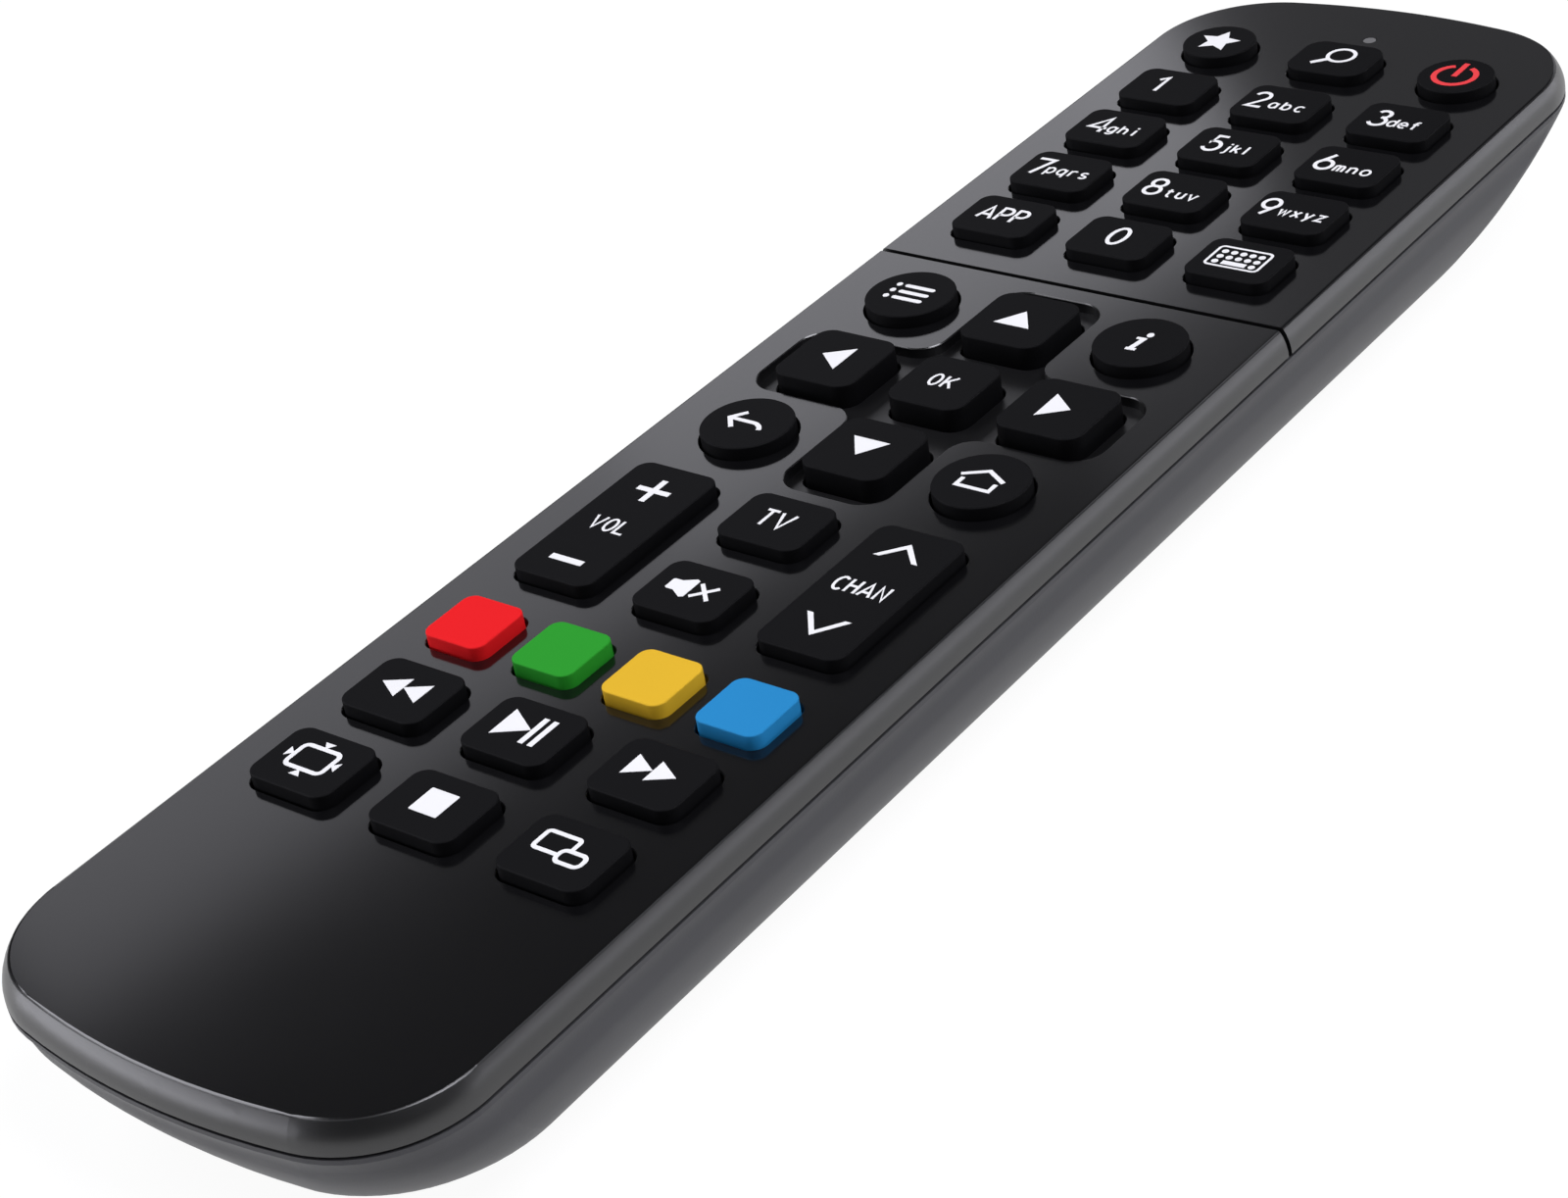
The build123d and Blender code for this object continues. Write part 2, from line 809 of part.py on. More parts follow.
def contact_plate(x, y, width):
    return block(
        x - width / 2, x + width / 2, y - contact_thickness / 2, y + contact_thickness / 2,
        cell_axis - contact_height / 2, cell_axis + contact_height / 2,
    )


def contact_spring(x, y, direction):
    """A conical spring from its plate to the flat end of a cell."""
    room = bay_length - cell_length - 2 * (contact_seat + contact_thickness) - contact_gap
    length = room - spring_wire - 2 * contact_gap
    path = Helix(
        pitch=length / spring_turns, height=length, radius=spring_base_radius,
        cone_angle=-atan2(spring_base_radius - spring_top_radius, length) * 180 / pi,
    )
    ring = path.location_at(0) * Circle(spring_wire / 2)
    coil = sweep(ring, path=path, is_frenet=True)
    start = spring_wire / 2 + contact_gap
    return at(x, y + direction * start, cell_axis, Rot(-90 * direction, 0, 0) * coil)


def battery_contacts():
    """Bridge strap at the rear, two plates at the front, two springs."""
    rear_plate = bay_rear + contact_seat + contact_thickness / 2
    front_plate = bay_front - contact_seat - contact_thickness / 2
    bridge = contact_plate(0, rear_plate, 2 * cell_x + contact_width)
    plates = []
    for x in (-cell_x, cell_x):
        tail = block(
            x - tail_width / 2, x + tail_width / 2,
            front_plate - contact_thickness / 2, front_plate + contact_thickness / 2,
            cell_axis, board_bottom,
        )
        plates.append(contact_plate(x, front_plate, contact_width).fuse(tail))
    springs = [
        contact_spring(-cell_x, rear_plate + contact_thickness / 2, 1),
        contact_spring(cell_x, front_plate - contact_thickness / 2, -1),
    ]
    return bridge, plates, springs


def infrared_emitters():
    """Two small round emitters that look out through the front window."""
    solids = []
    axis_z = cover_under - emitter_radius - emitter_top_gap
    back = front_y - emitter_setback - emitter_length
    for side in (-1, 1):
        x = side * emitter_column
        tube = Cylinder(emitter_radius, emitter_length)
        tip = fillet(tube.edges().sort_by(Axis.Z)[-1], emitter_tip_round)
        body = at(x, back + emitter_length / 2, axis_z, Rot(-90, 0, 0) * tip)
        base = Cylinder(emitter_radius + emitter_flange_proud, emitter_flange)
        body += at(x, back + emitter_flange / 2, axis_z, Rot(-90, 0, 0) * base)
        for lead in (-1, 1):
            lx = x + lead * emitter_lead_pitch
            body += block(
                lx - emitter_lead / 2, lx + emitter_lead / 2, back - emitter_lead, back + overlap,
                board_top, axis_z + emitter_lead / 2,
            )
        solids.append(body)
    return solids


def status_light_pipe():
    """Clear pin through the cover with a foot over the board's light."""
    foot_bottom = board_top + status_chip_height + light_foot_gap
    pin = rod(light_radius, foot_bottom, cover_face, 0, light_y)
    foot_top = cover_under - light_foot_top_gap
    foot = block(
        -light_foot_width / 2, light_foot_width / 2,
        light_y - light_foot_length + light_radius, light_y + light_radius,
        foot_bottom, foot_top,
    )
    return pin + foot


def status_light():
    y = light_y - light_foot_length + light_radius + status_chip_length
    return block(
        -status_chip_width / 2, status_chip_width / 2, y - status_chip_length / 2,
        y + status_chip_length / 2, board_top, board_top + status_chip_height,
    )


def microcontroller():
    """Square chip with flat leads, on the underside of the board."""
    half = controller_size / 2
    y = controller_place
    low = board_bottom - controller_height
    chip = block(-half, half, y - half, y + half, low, board_bottom - controller_standoff)
    reach = half + controller_lead_reach
    foot = board_bottom - controller_lead_thickness
    leads = []
    for step in range(controller_leads):
        place = (step - (controller_leads - 1) / 2) * controller_lead_pitch
        a, b = place - controller_lead_width / 2, place + controller_lead_width / 2
        leads.append(block(-reach, reach, y + a, y + b, foot, board_bottom))
        leads.append(block(a, b, y - reach, y + reach, foot, board_bottom))
    return chip.fuse(*leads)


def crystal_resonator():
    y = controller_place + crystal_offset
    return block(
        -crystal_length / 2, crystal_length / 2, y - crystal_width / 2, y + crystal_width / 2,
        board_bottom - crystal_height, board_bottom,
    )


def reservoir_capacitor():
    """Small can lying under the board, with its two leads bent up."""
    y = controller_place - capacitor_offset
    axis_z = board_bottom - capacitor_radius
    can = fillet(Cylinder(capacitor_radius, capacitor_length).edges(), capacitor_edge_round)
    can = at(0, y, axis_z, Rot(0, 90, 0) * can)
    end = capacitor_length / 2
    half = capacitor_lead / 2
    for side in (-1, 1):
        lead_y = y + side * capacitor_lead_offset
        can += block(
            end - overlap, end + capacitor_lead_reach, lead_y - half, lead_y + half,
            axis_z - half, board_bottom,
        )
    return can


def chip_parts():
    """Resistors and small capacitors beside the controller."""
    solids = []
    for side in (-1, 1):
        for step in range(chip_rows):
            x = side * chip_offset
            y = controller_place + (step - (chip_rows - 1) / 2) * chip_pitch
            solids.append(block(
                x - chip_length / 2, x + chip_length / 2, y - chip_width / 2, y + chip_width / 2,
                board_bottom - chip_height, board_bottom,
            ))
    return solids


def emitter_transistor():
    y = top_row_y - transistor_setback
    return block(
        -transistor_length / 2, transistor_length / 2, y - transistor_width / 2,
        y + transistor_width / 2, board_bottom - transistor_height, board_bottom,
    )


def save(name, shape):
    """Write one named piece; a list becomes one piece of separate solids."""
    solids = []
    for item in shape if isinstance(shape, list) else [shape]:
        solids.extend(item.solids())
    result = solids[0] if len(solids) == 1 else Compound(children=solids)
    export_step(result, f"parts/{name}.step")


def build():
    os.makedirs("parts", exist_ok=True)
    front, rear = top_covers()
    bridge, plates, springs = battery_contacts()
    pieces = {
        "top_cover_front": front,
        "top_cover_rear": rear,
        "bottom_shell": bottom_shell(),
        "battery_door": battery_door(),
        "case_screws": case_screws(),
        "circuit_board": circuit_board(),
        "keypad_mat": keypad_mat(),
        "aaa_cell_left": aaa_cell(-1),
        "aaa_cell_right": aaa_cell(1),
        "battery_bridge_strap": bridge,
        "battery_terminal_plates": plates,
        "battery_springs": springs,
        "infrared_window": infrared_window(),
        "infrared_emitters": infrared_emitters(),
        "status_light_pipe": status_light_pipe(),
        "status_light": status_light(),
        "microcontroller": microcontroller(),
        "crystal_resonator": crystal_resonator(),
        "reservoir_capacitor": reservoir_capacitor(),
        "chip_parts": chip_parts(),
        "emitter_transistor": emitter_transistor(),
    }
    for name in keys:
        pieces[name] = key_solids(name)
    for name, shape in pieces.items():
        save(name, shape)


build()
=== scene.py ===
from math import cos, pi, radians, sin, tan

import bmesh
import bpy
from mathutils import Matrix, Vector


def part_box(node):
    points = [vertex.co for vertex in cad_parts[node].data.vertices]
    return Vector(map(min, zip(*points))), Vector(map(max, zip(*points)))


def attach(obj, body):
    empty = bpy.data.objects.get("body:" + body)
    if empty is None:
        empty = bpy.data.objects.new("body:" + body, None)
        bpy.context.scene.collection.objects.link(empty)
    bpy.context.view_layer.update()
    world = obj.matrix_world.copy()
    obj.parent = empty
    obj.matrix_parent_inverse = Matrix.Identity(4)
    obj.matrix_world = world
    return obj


bl_info = {
    "name": "Television box remote control",
    "version": (1, 0, 0),
    "blender": (4, 5, 0),
    "location": "3D View > Sidebar > Remote",
    "description": "Finishes, key legends and studio for a hand-held remote control",
    "category": "Object",
}

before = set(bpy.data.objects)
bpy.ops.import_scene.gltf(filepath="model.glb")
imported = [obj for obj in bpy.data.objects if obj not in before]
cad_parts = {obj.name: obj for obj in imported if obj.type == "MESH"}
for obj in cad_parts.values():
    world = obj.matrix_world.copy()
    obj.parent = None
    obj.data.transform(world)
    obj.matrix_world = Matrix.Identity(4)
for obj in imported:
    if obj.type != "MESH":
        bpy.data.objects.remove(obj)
MM = 0.001

# Characters are drawn by the middle line of each stroke. A pair is a point, six
# numbers are an arc: centre, two radii, start and end angle in degrees. Digits
# and capitals fill a square of one unit.
DIGITS = {
    "0": [[(0.50, 0.50, 0.50, 0.50, 90, 450)]],
    "1": [[(0.00, 0.78), (1.00, 1.00), (1.00, 0.00)]],
    "2": [[(0.47, 0.73, 0.47, 0.27, 165, -38), (0.00, 0.00), (1.00, 0.00)]],
    "3": [[(0.48, 0.77, 0.42, 0.23, 155, -90)], [(0.46, 0.28, 0.54, 0.28, 90, -155)]],
    "4": [[(0.78, 0.00), (0.78, 1.00), (0.00, 0.28), (1.00, 0.28)]],
    "5": [[(0.95, 1.00), (0.28, 1.00), (0.14, 0.54), (0.45, 0.32, 0.55, 0.32, 125, -155)]],
    "6": [[(0.66, 1.00), (0.07, 0.43)], [(0.50, 0.30, 0.50, 0.30, 90, 450)]],
    "7": [[(0.00, 1.00), (1.00, 1.00), (0.34, 0.00)]],
    "8": [[(0.50, 0.76, 0.44, 0.24, 90, 450)], [(0.50, 0.27, 0.50, 0.27, 90, 450)]],
    "9": [[(0.50, 0.70, 0.50, 0.30, 90, 450)], [(0.95, 0.60), (0.38, 0.00)]],
}
# Each capital starts with its width as a share of its height.
CAPITALS = {
    "A": (0.67, [[(0.00, 0.00), (0.50, 1.00), (1.00, 0.00)], [(0.15, 0.30), (0.85, 0.30)]]),
    "C": (0.58, [[(0.55, 0.50, 0.55, 0.50, 48, 312)]]),
    "H": (0.57, [
        [(0.00, 0.00), (0.00, 1.00)], [(1.00, 0.00), (1.00, 1.00)], [(0.00, 0.52), (1.00, 0.52)],
    ]),
    "K": (0.60, [
        [(0.00, 0.00), (0.00, 1.00)], [(1.00, 1.00), (0.05, 0.38)], [(0.30, 0.60), (1.00, 0.00)],
    ]),
    "L": (0.58, [[(0.00, 1.00), (0.00, 0.00), (1.00, 0.00)]]),
    "N": (0.55, [[(0.00, 0.00), (0.00, 1.00), (1.00, 0.00), (1.00, 1.00)]]),
    "O": (0.58, [[(0.50, 0.50, 0.50, 0.50, 90, 450)]]),
    "P": (0.57, [[(0.00, 0.00), (0.00, 1.00), (0.50, 0.72, 0.50, 0.28, 90, -90), (0.00, 0.44)]]),
    "T": (0.60, [[(0.00, 1.00), (1.00, 1.00)], [(0.50, 1.00), (0.50, 0.00)]]),
    "V": (0.67, [[(0.00, 1.00), (0.50, 0.00), (1.00, 1.00)]]),
}
# Small letters are drawn on an x-height of one unit.
SMALL_LETTERS = {
    "a": [[(0.35, 0.50, 0.35, 0.50, 0, 360)], [(0.70, 1.00), (0.70, 0.00)]],
    "b": [[(0.00, 1.40), (0.00, 0.00)], [(0.37, 0.50, 0.37, 0.50, 180, 540)]],
    "c": [[(0.38, 0.50, 0.38, 0.50, 48, 312)]],
    "d": [[(0.35, 0.50, 0.35, 0.50, 0, 360)], [(0.70, 1.40), (0.70, 0.00)]],
    "e": [[(0.02, 0.50), (0.70, 0.50), (0.35, 0.50, 0.35, 0.50, 0, 312)]],
    "f": [[(0.48, 1.12, 0.25, 0.27, 75, 180), (0.23, 0.00)], [(0.00, 0.92), (0.52, 0.92)]],
    "g": [[(0.35, 0.50, 0.35, 0.50, 0, 360)], [(0.70, 1.00), (0.36, -0.05, 0.34, 0.33, 0, -145)]],
    "h": [[(0.00, 1.40), (0.00, 0.00)], [(0.33, 0.62, 0.33, 0.38, 180, 0), (0.66, 0.00)]],
    "i": [[(0.00, 1.00), (0.00, 0.00)], [(0.00, 1.28), (0.00, 1.50)]],
    "j": [[(0.27, 1.00), (0.00, -0.08, 0.27, 0.27, 0, -90)], [(0.27, 1.28), (0.27, 1.50)]],
    "k": [[(0.00, 1.40), (0.00, 0.00)], [(0.58, 1.00), (0.04, 0.38)], [(0.22, 0.60), (0.62, 0.00)]],
    "l": [[(0.00, 1.40), (0.00, 0.00)]],
    "m": [
        [(0.00, 1.00), (0.00, 0.00)],
        [(0.20, 0.72, 0.20, 0.28, 180, 0), (0.40, 0.00)],
        [(0.60, 0.72, 0.20, 0.28, 180, 0), (0.80, 0.00)],
    ],
    "n": [[(0.00, 1.00), (0.00, 0.00)], [(0.33, 0.62, 0.33, 0.38, 180, 0), (0.66, 0.00)]],
    "o": [[(0.40, 0.50, 0.40, 0.50, 90, 450)]],
    "p": [[(0.00, 1.00), (0.00, -0.40)], [(0.36, 0.50, 0.36, 0.50, 180, 540)]],
    "q": [[(0.72, 1.00), (0.72, -0.40)], [(0.36, 0.50, 0.36, 0.50, 0, 360)]],
    "r": [[(0.00, 1.00), (0.00, 0.00)], [(0.33, 0.60, 0.33, 0.40, 180, 55)]],
    "s": [[(0.33, 0.75, 0.28, 0.25, 35, 270), (0.33, 0.25, 0.30, 0.25, 90, -145)]],
    "t": [[(0.22, 1.28), (0.45, 0.30, 0.23, 0.30, 180, 290)], [(0.00, 0.94), (0.52, 0.94)]],
    "u": [[(0.00, 1.00), (0.33, 0.38, 0.33, 0.38, 180, 360)], [(0.66, 1.00), (0.66, 0.00)]],
    "v": [[(0.00, 1.00), (0.36, 0.00), (0.72, 1.00)]],
    "w": [[(0.00, 1.00), (0.21, 0.00), (0.43, 0.90), (0.65, 0.00), (0.86, 1.00)]],
    "x": [[(0.00, 1.00), (0.64, 0.00)], [(0.64, 1.00), (0.00, 0.00)]],
    "y": [[(0.00, 1.00), (0.36, 0.05)], [(0.70, 1.00), (0.20, -0.40)]],
    "z": [[(0.02, 1.00), (0.66, 1.00), (0.00, 0.00), (0.68, 0.00)]],
}

# The digit's left and right edge on each number key, then its letters, their
# middle, their pitch and their base line, in millimetres from the key's middle.
NUMBER_KEYS = {
    "key_1": (-2.08, -0.72, "", 0.00, 0.00, 0.00),
    "key_2": (-3.92, -1.58, "abc", 1.15, 1.66, -1.46),
    "key_3": (-3.33, -1.08, "def", 1.00, 1.38, -1.44),
    "key_4": (-3.44, -0.72, "ghi", 1.37, 1.48, -1.32),
    "key_5": (-2.98, -0.71, "jkl", 1.30, 1.22, -1.36),
    "key_6": (-3.79, -1.40, "mno", 1.11, 1.62, -1.62),
    "key_7": (-4.17, -1.71, "pqrs", 1.02, 1.47, -1.02),
    "key_8": (-3.71, -1.37, "tuv", 1.20, 1.50, -1.57),
    "key_9": (-4.42, -2.08, "wxyz", 1.20, 1.48, -1.22),
    "key_0": (-1.33, 1.02, "", 0.00, 0.00, 0.00),
}


class RemoteFinishes(bpy.types.PropertyGroup):
    """Colours and gloss of the remote's surfaces."""

    cover: bpy.props.FloatVectorProperty(
        name="Cover", description="Colour of the key face", subtype="COLOR",
        default=(0.0040, 0.0040, 0.0045),
    )
    cover_roughness: bpy.props.FloatProperty(
        name="Cover roughness", description="Blur of the key face's reflections",
        subtype="FACTOR", default=0.12, min=0, max=1,
    )
    band_roughness: bpy.props.FloatProperty(
        name="Band roughness", description="Blur of reflections on the cover's edge",
        subtype="FACTOR", default=0.36, min=0, max=1,
    )
    lower_case: bpy.props.FloatVectorProperty(
        name="Lower case", description="Colour of the underside", subtype="COLOR",
        default=(0.054, 0.054, 0.058),
    )
    lower_case_roughness: bpy.props.FloatProperty(
        name="Lower case roughness", description="Blur of the underside's sheen",
        subtype="FACTOR", default=0.46, min=0, max=1,
    )
    key: bpy.props.FloatVectorProperty(
        name="Keys", description="Colour of the black keys", subtype="COLOR",
        default=(0.0036, 0.0036, 0.0042),
    )
    key_roughness: bpy.props.FloatProperty(
        name="Key roughness", description="Blur of the rubber's sheen",
        subtype="FACTOR", default=0.60, min=0, max=1,
    )
    red: bpy.props.FloatVectorProperty(
        name="Red key", description="Colour of the red key", subtype="COLOR",
        default=(0.86, 0.012, 0.016),
    )
    green: bpy.props.FloatVectorProperty(
        name="Green key", description="Colour of the green key", subtype="COLOR",
        default=(0.025, 0.335, 0.026),
    )
    yellow: bpy.props.FloatVectorProperty(
        name="Yellow key", description="Colour of the yellow key", subtype="COLOR",
        default=(0.79, 0.48, 0.028),
    )
    blue: bpy.props.FloatVectorProperty(
        name="Blue key", description="Colour of the blue key", subtype="COLOR",
        default=(0.021, 0.255, 0.570),
    )
    print_white: bpy.props.FloatVectorProperty(
        name="Legends", description="Colour of the printed legends", subtype="COLOR",
        default=(0.94, 0.94, 0.94),
    )
    print_red: bpy.props.FloatVectorProperty(
        name="Power legend", description="Colour of the power symbol", subtype="COLOR",
        default=(0.88, 0.053, 0.061),
    )


class RemoteLegendSizes(bpy.types.PropertyGroup):
    """Sizes of the printed legends, in millimetres."""

    digit_height: bpy.props.FloatProperty(
        name="Digit height", description="Height of a number", default=4.02,
    )
    digit_base: bpy.props.FloatProperty(
        name="Digit base", description="Foot of a number below the key's middle", default=1.76,
    )
    digit_stroke: bpy.props.FloatProperty(
        name="Digit stroke", description="Line width of a number", default=0.46,
    )
    letter_height: bpy.props.FloatProperty(
        name="Letter height", description="Height of a small x", default=1.56,
    )
    letter_stroke: bpy.props.FloatProperty(
        name="Letter stroke", description="Line width of a letter", default=0.29,
    )
    print_height: bpy.props.FloatProperty(
        name="Ink height", description="How far ink stands proud", default=0.03,
    )
    ink_layer: bpy.props.FloatProperty(
        name="Ink layer", description="Rise of a mark over the last", default=0.001,
    )


class RemoteStudio(bpy.types.PropertyGroup):
    """Camera, lights and floor."""

    camera_place: bpy.props.FloatVectorProperty(
        name="Camera place", description="In millimetres from the part's origin",
        default=(181.66, -216.51, 180.73),
    )
    view_heading: bpy.props.FloatProperty(
        name="Heading", description="Degrees that the camera looks left of +Y", default=43.402,
    )
    view_drop: bpy.props.FloatProperty(
        name="Drop", description="Degrees that the camera looks below the horizon", default=32.324,
    )
    view_roll: bpy.props.FloatProperty(
        name="Roll", description="Degrees that the camera is turned about its line of sight",
        default=10.83,
    )
    focal_length: bpy.props.FloatProperty(
        name="Focal length", description="In millimetres on the sensor", default=74.45,
    )
    sensor_width: bpy.props.FloatProperty(
        name="Sensor width", description="In millimetres", default=36.0,
    )
    shift_right: bpy.props.FloatProperty(
        name="Shift", description="Lens shift as a share of the width", default=0.0156,
    )
    light_distance: bpy.props.FloatProperty(
        name="Light distance", description="Metres from the part's origin to each light",
        subtype="DISTANCE", default=1.4,
    )
    light_tint: bpy.props.FloatVectorProperty(
        name="Light tint", description="Colour of the studio lights", subtype="COLOR",
        default=(0.93, 0.93, 1.0),
    )
    surround_light: bpy.props.FloatProperty(
        name="Surround light", description="How strongly the surround lights the remote",
        default=0.05,
    )
    floor_colour: bpy.props.FloatVectorProperty(
        name="Floor", description="Colour of the floor", subtype="COLOR", default=(0.90, 0.90, 0.90),
    )
    floor_glow: bpy.props.FloatProperty(
        name="Floor glow", description="Strength of the floor's own white", default=1.05,
    )
    floor_seen: bpy.props.FloatProperty(
        name="Floor glow seen", description="Share of the glow in what the camera sees",
        subtype="FACTOR", default=0.9, min=0, max=1,
    )
    floor_mirrored: bpy.props.FloatProperty(
        name="Floor glow mirrored", description="Share of the glow in reflections",
        subtype="FACTOR", default=0.8, min=0, max=1,
    )
    floor_reach: bpy.props.FloatProperty(
        name="Floor reach", description="Metres from the remote to the floor's edge",
        subtype="DISTANCE", default=3.0,
    )
    floor_gap: bpy.props.FloatProperty(
        name="Floor gap", description="Millimetres between the floor and the remote's foot",
        default=0.1,
    )


# Every finish has clouds that are coarser than its grain and a tooth that is finer,
# and its gloss varies a little with the clouds.
CLOUD_COARSENESS = 12
TOOTH_FINENESS = 4
TOOTH_DEPTH = 0.05 * MM
GLOSS_SPREAD = 0.06


def moulded(name, colour, roughness, speck=0.12, grain=900.0, bump=0.04, specular=0.5):
    """Moulded plastic or rubber: faint clouding, uneven gloss and a fine grain.

    The speck is how far the clouds lighten and darken the colour, the grain sets the scale
    of the clouds and of the tooth, and the bump is how strongly the tooth stands out.
    """
    material = bpy.data.materials.new(name)
    material.use_nodes = True
    tree = material.node_tree
    shader = tree.nodes["Principled BSDF"]
    shader.inputs["Specular IOR Level"].default_value = specular
    place = tree.nodes.new("ShaderNodeTexCoord").outputs["Object"]
    cloud = tree.nodes.new("ShaderNodeTexNoise")
    cloud.inputs["Scale"].default_value = grain / CLOUD_COARSENESS
    cloud.inputs["Detail"].default_value = 4.0
    tree.links.new(place, cloud.inputs["Vector"])
    # A Mix node's colours are its inputs 6 and 7 and its output 2.
    tint = tree.nodes.new("ShaderNodeMix")
    tint.data_type = "RGBA"
    tint.inputs[6].default_value = (*[c * (1 - speck) for c in colour], 1)
    tint.inputs[7].default_value = (*[min(c * (1 + speck), 1) for c in colour], 1)
    tree.links.new(cloud.outputs["Fac"], tint.inputs[0])
    tree.links.new(tint.outputs[2], shader.inputs["Base Color"])
    gloss = tree.nodes.new("ShaderNodeMapRange")
    gloss.inputs["To Min"].default_value = roughness * (1 - GLOSS_SPREAD)
    gloss.inputs["To Max"].default_value = min(roughness * (1 + GLOSS_SPREAD), 1)
    tree.links.new(cloud.outputs["Fac"], gloss.inputs["Value"])
    tree.links.new(gloss.outputs["Result"], shader.inputs["Roughness"])
    fine = tree.nodes.new("ShaderNodeTexNoise")
    fine.inputs["Scale"].default_value = grain * TOOTH_FINENESS
    fine.inputs["Detail"].default_value = 2.0
    tree.links.new(place, fine.inputs["Vector"])
    relief = tree.nodes.new("ShaderNodeBump")
    relief.inputs["Strength"].default_value = bump
    relief.inputs["Distance"].default_value = TOOTH_DEPTH
    tree.links.new(fine.outputs["Fac"], relief.inputs["Height"])
    tree.links.new(relief.outputs["Normal"], shader.inputs["Normal"])
    return material


def metal(name, colour, roughness):
    """Plated or bare metal with a fine grain."""
    material = moulded(name, colour, roughness, speck=0.06, grain=1500.0, bump=0.03)
    material.node_tree.nodes["Principled BSDF"].inputs["Metallic"].default_value = 1.0
    return material


def dress(node, material):
    """Gives a node of the frame its finish."""
    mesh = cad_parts[node].data
    mesh.materials.clear()
    mesh.materials.append(material)


# Degrees between two points of an arc, the fewest steps in one, and how near two points
# are when they count as one.
ARC_STEP = 10
FEWEST_STEPS = 4
SAME_POINT = 1e-5


def drawn(stroke):
    """The points along a stroke of points and arcs."""
    points = []
    for item in stroke:
        if len(item) == 2:
            points.append(Vector(item))
            continue
        x, y, across, up, start, end = item
        steps = max(int(abs(end - start) / ARC_STEP), FEWEST_STEPS)
        for step in range(steps + 1):
            angle = radians(start + (end - start) * step / steps)
            points.append(Vector((x + across * cos(angle), y + up * sin(angle))))
    return [
        point for point, last in zip(points, [None, *points])
        if last is None or (point - last).length > SAME_POINT
    ]


def moved(stroke, x, y, wide, high):
    """A stroke drawn in another box."""
    placed = []
    for item in stroke:
        if len(item) == 2:
            placed.append((x + item[0] * wide, y + item[1] * high))
        else:
            placed.append((x + item[0] * wide, y + item[1] * high, item[2] * wide, item[3] * high, *item[4:]))
    return placed


def rounded(left, right, low, high, corner):
    """A rectangle with round corners, from the middle of its right side and back to it."""
    return [
        (right, (low + high) / 2),
        (right - corner, high - corner, corner, corner, 0, 90),
        (left + corner, high - corner, corner, corner, 90, 180),
        (left + corner, low + corner, corner, corner, 180, 270),
        (right - corner, low + corner, corner, corner, 270, 360),
        (right, (low + high) / 2),
    ]


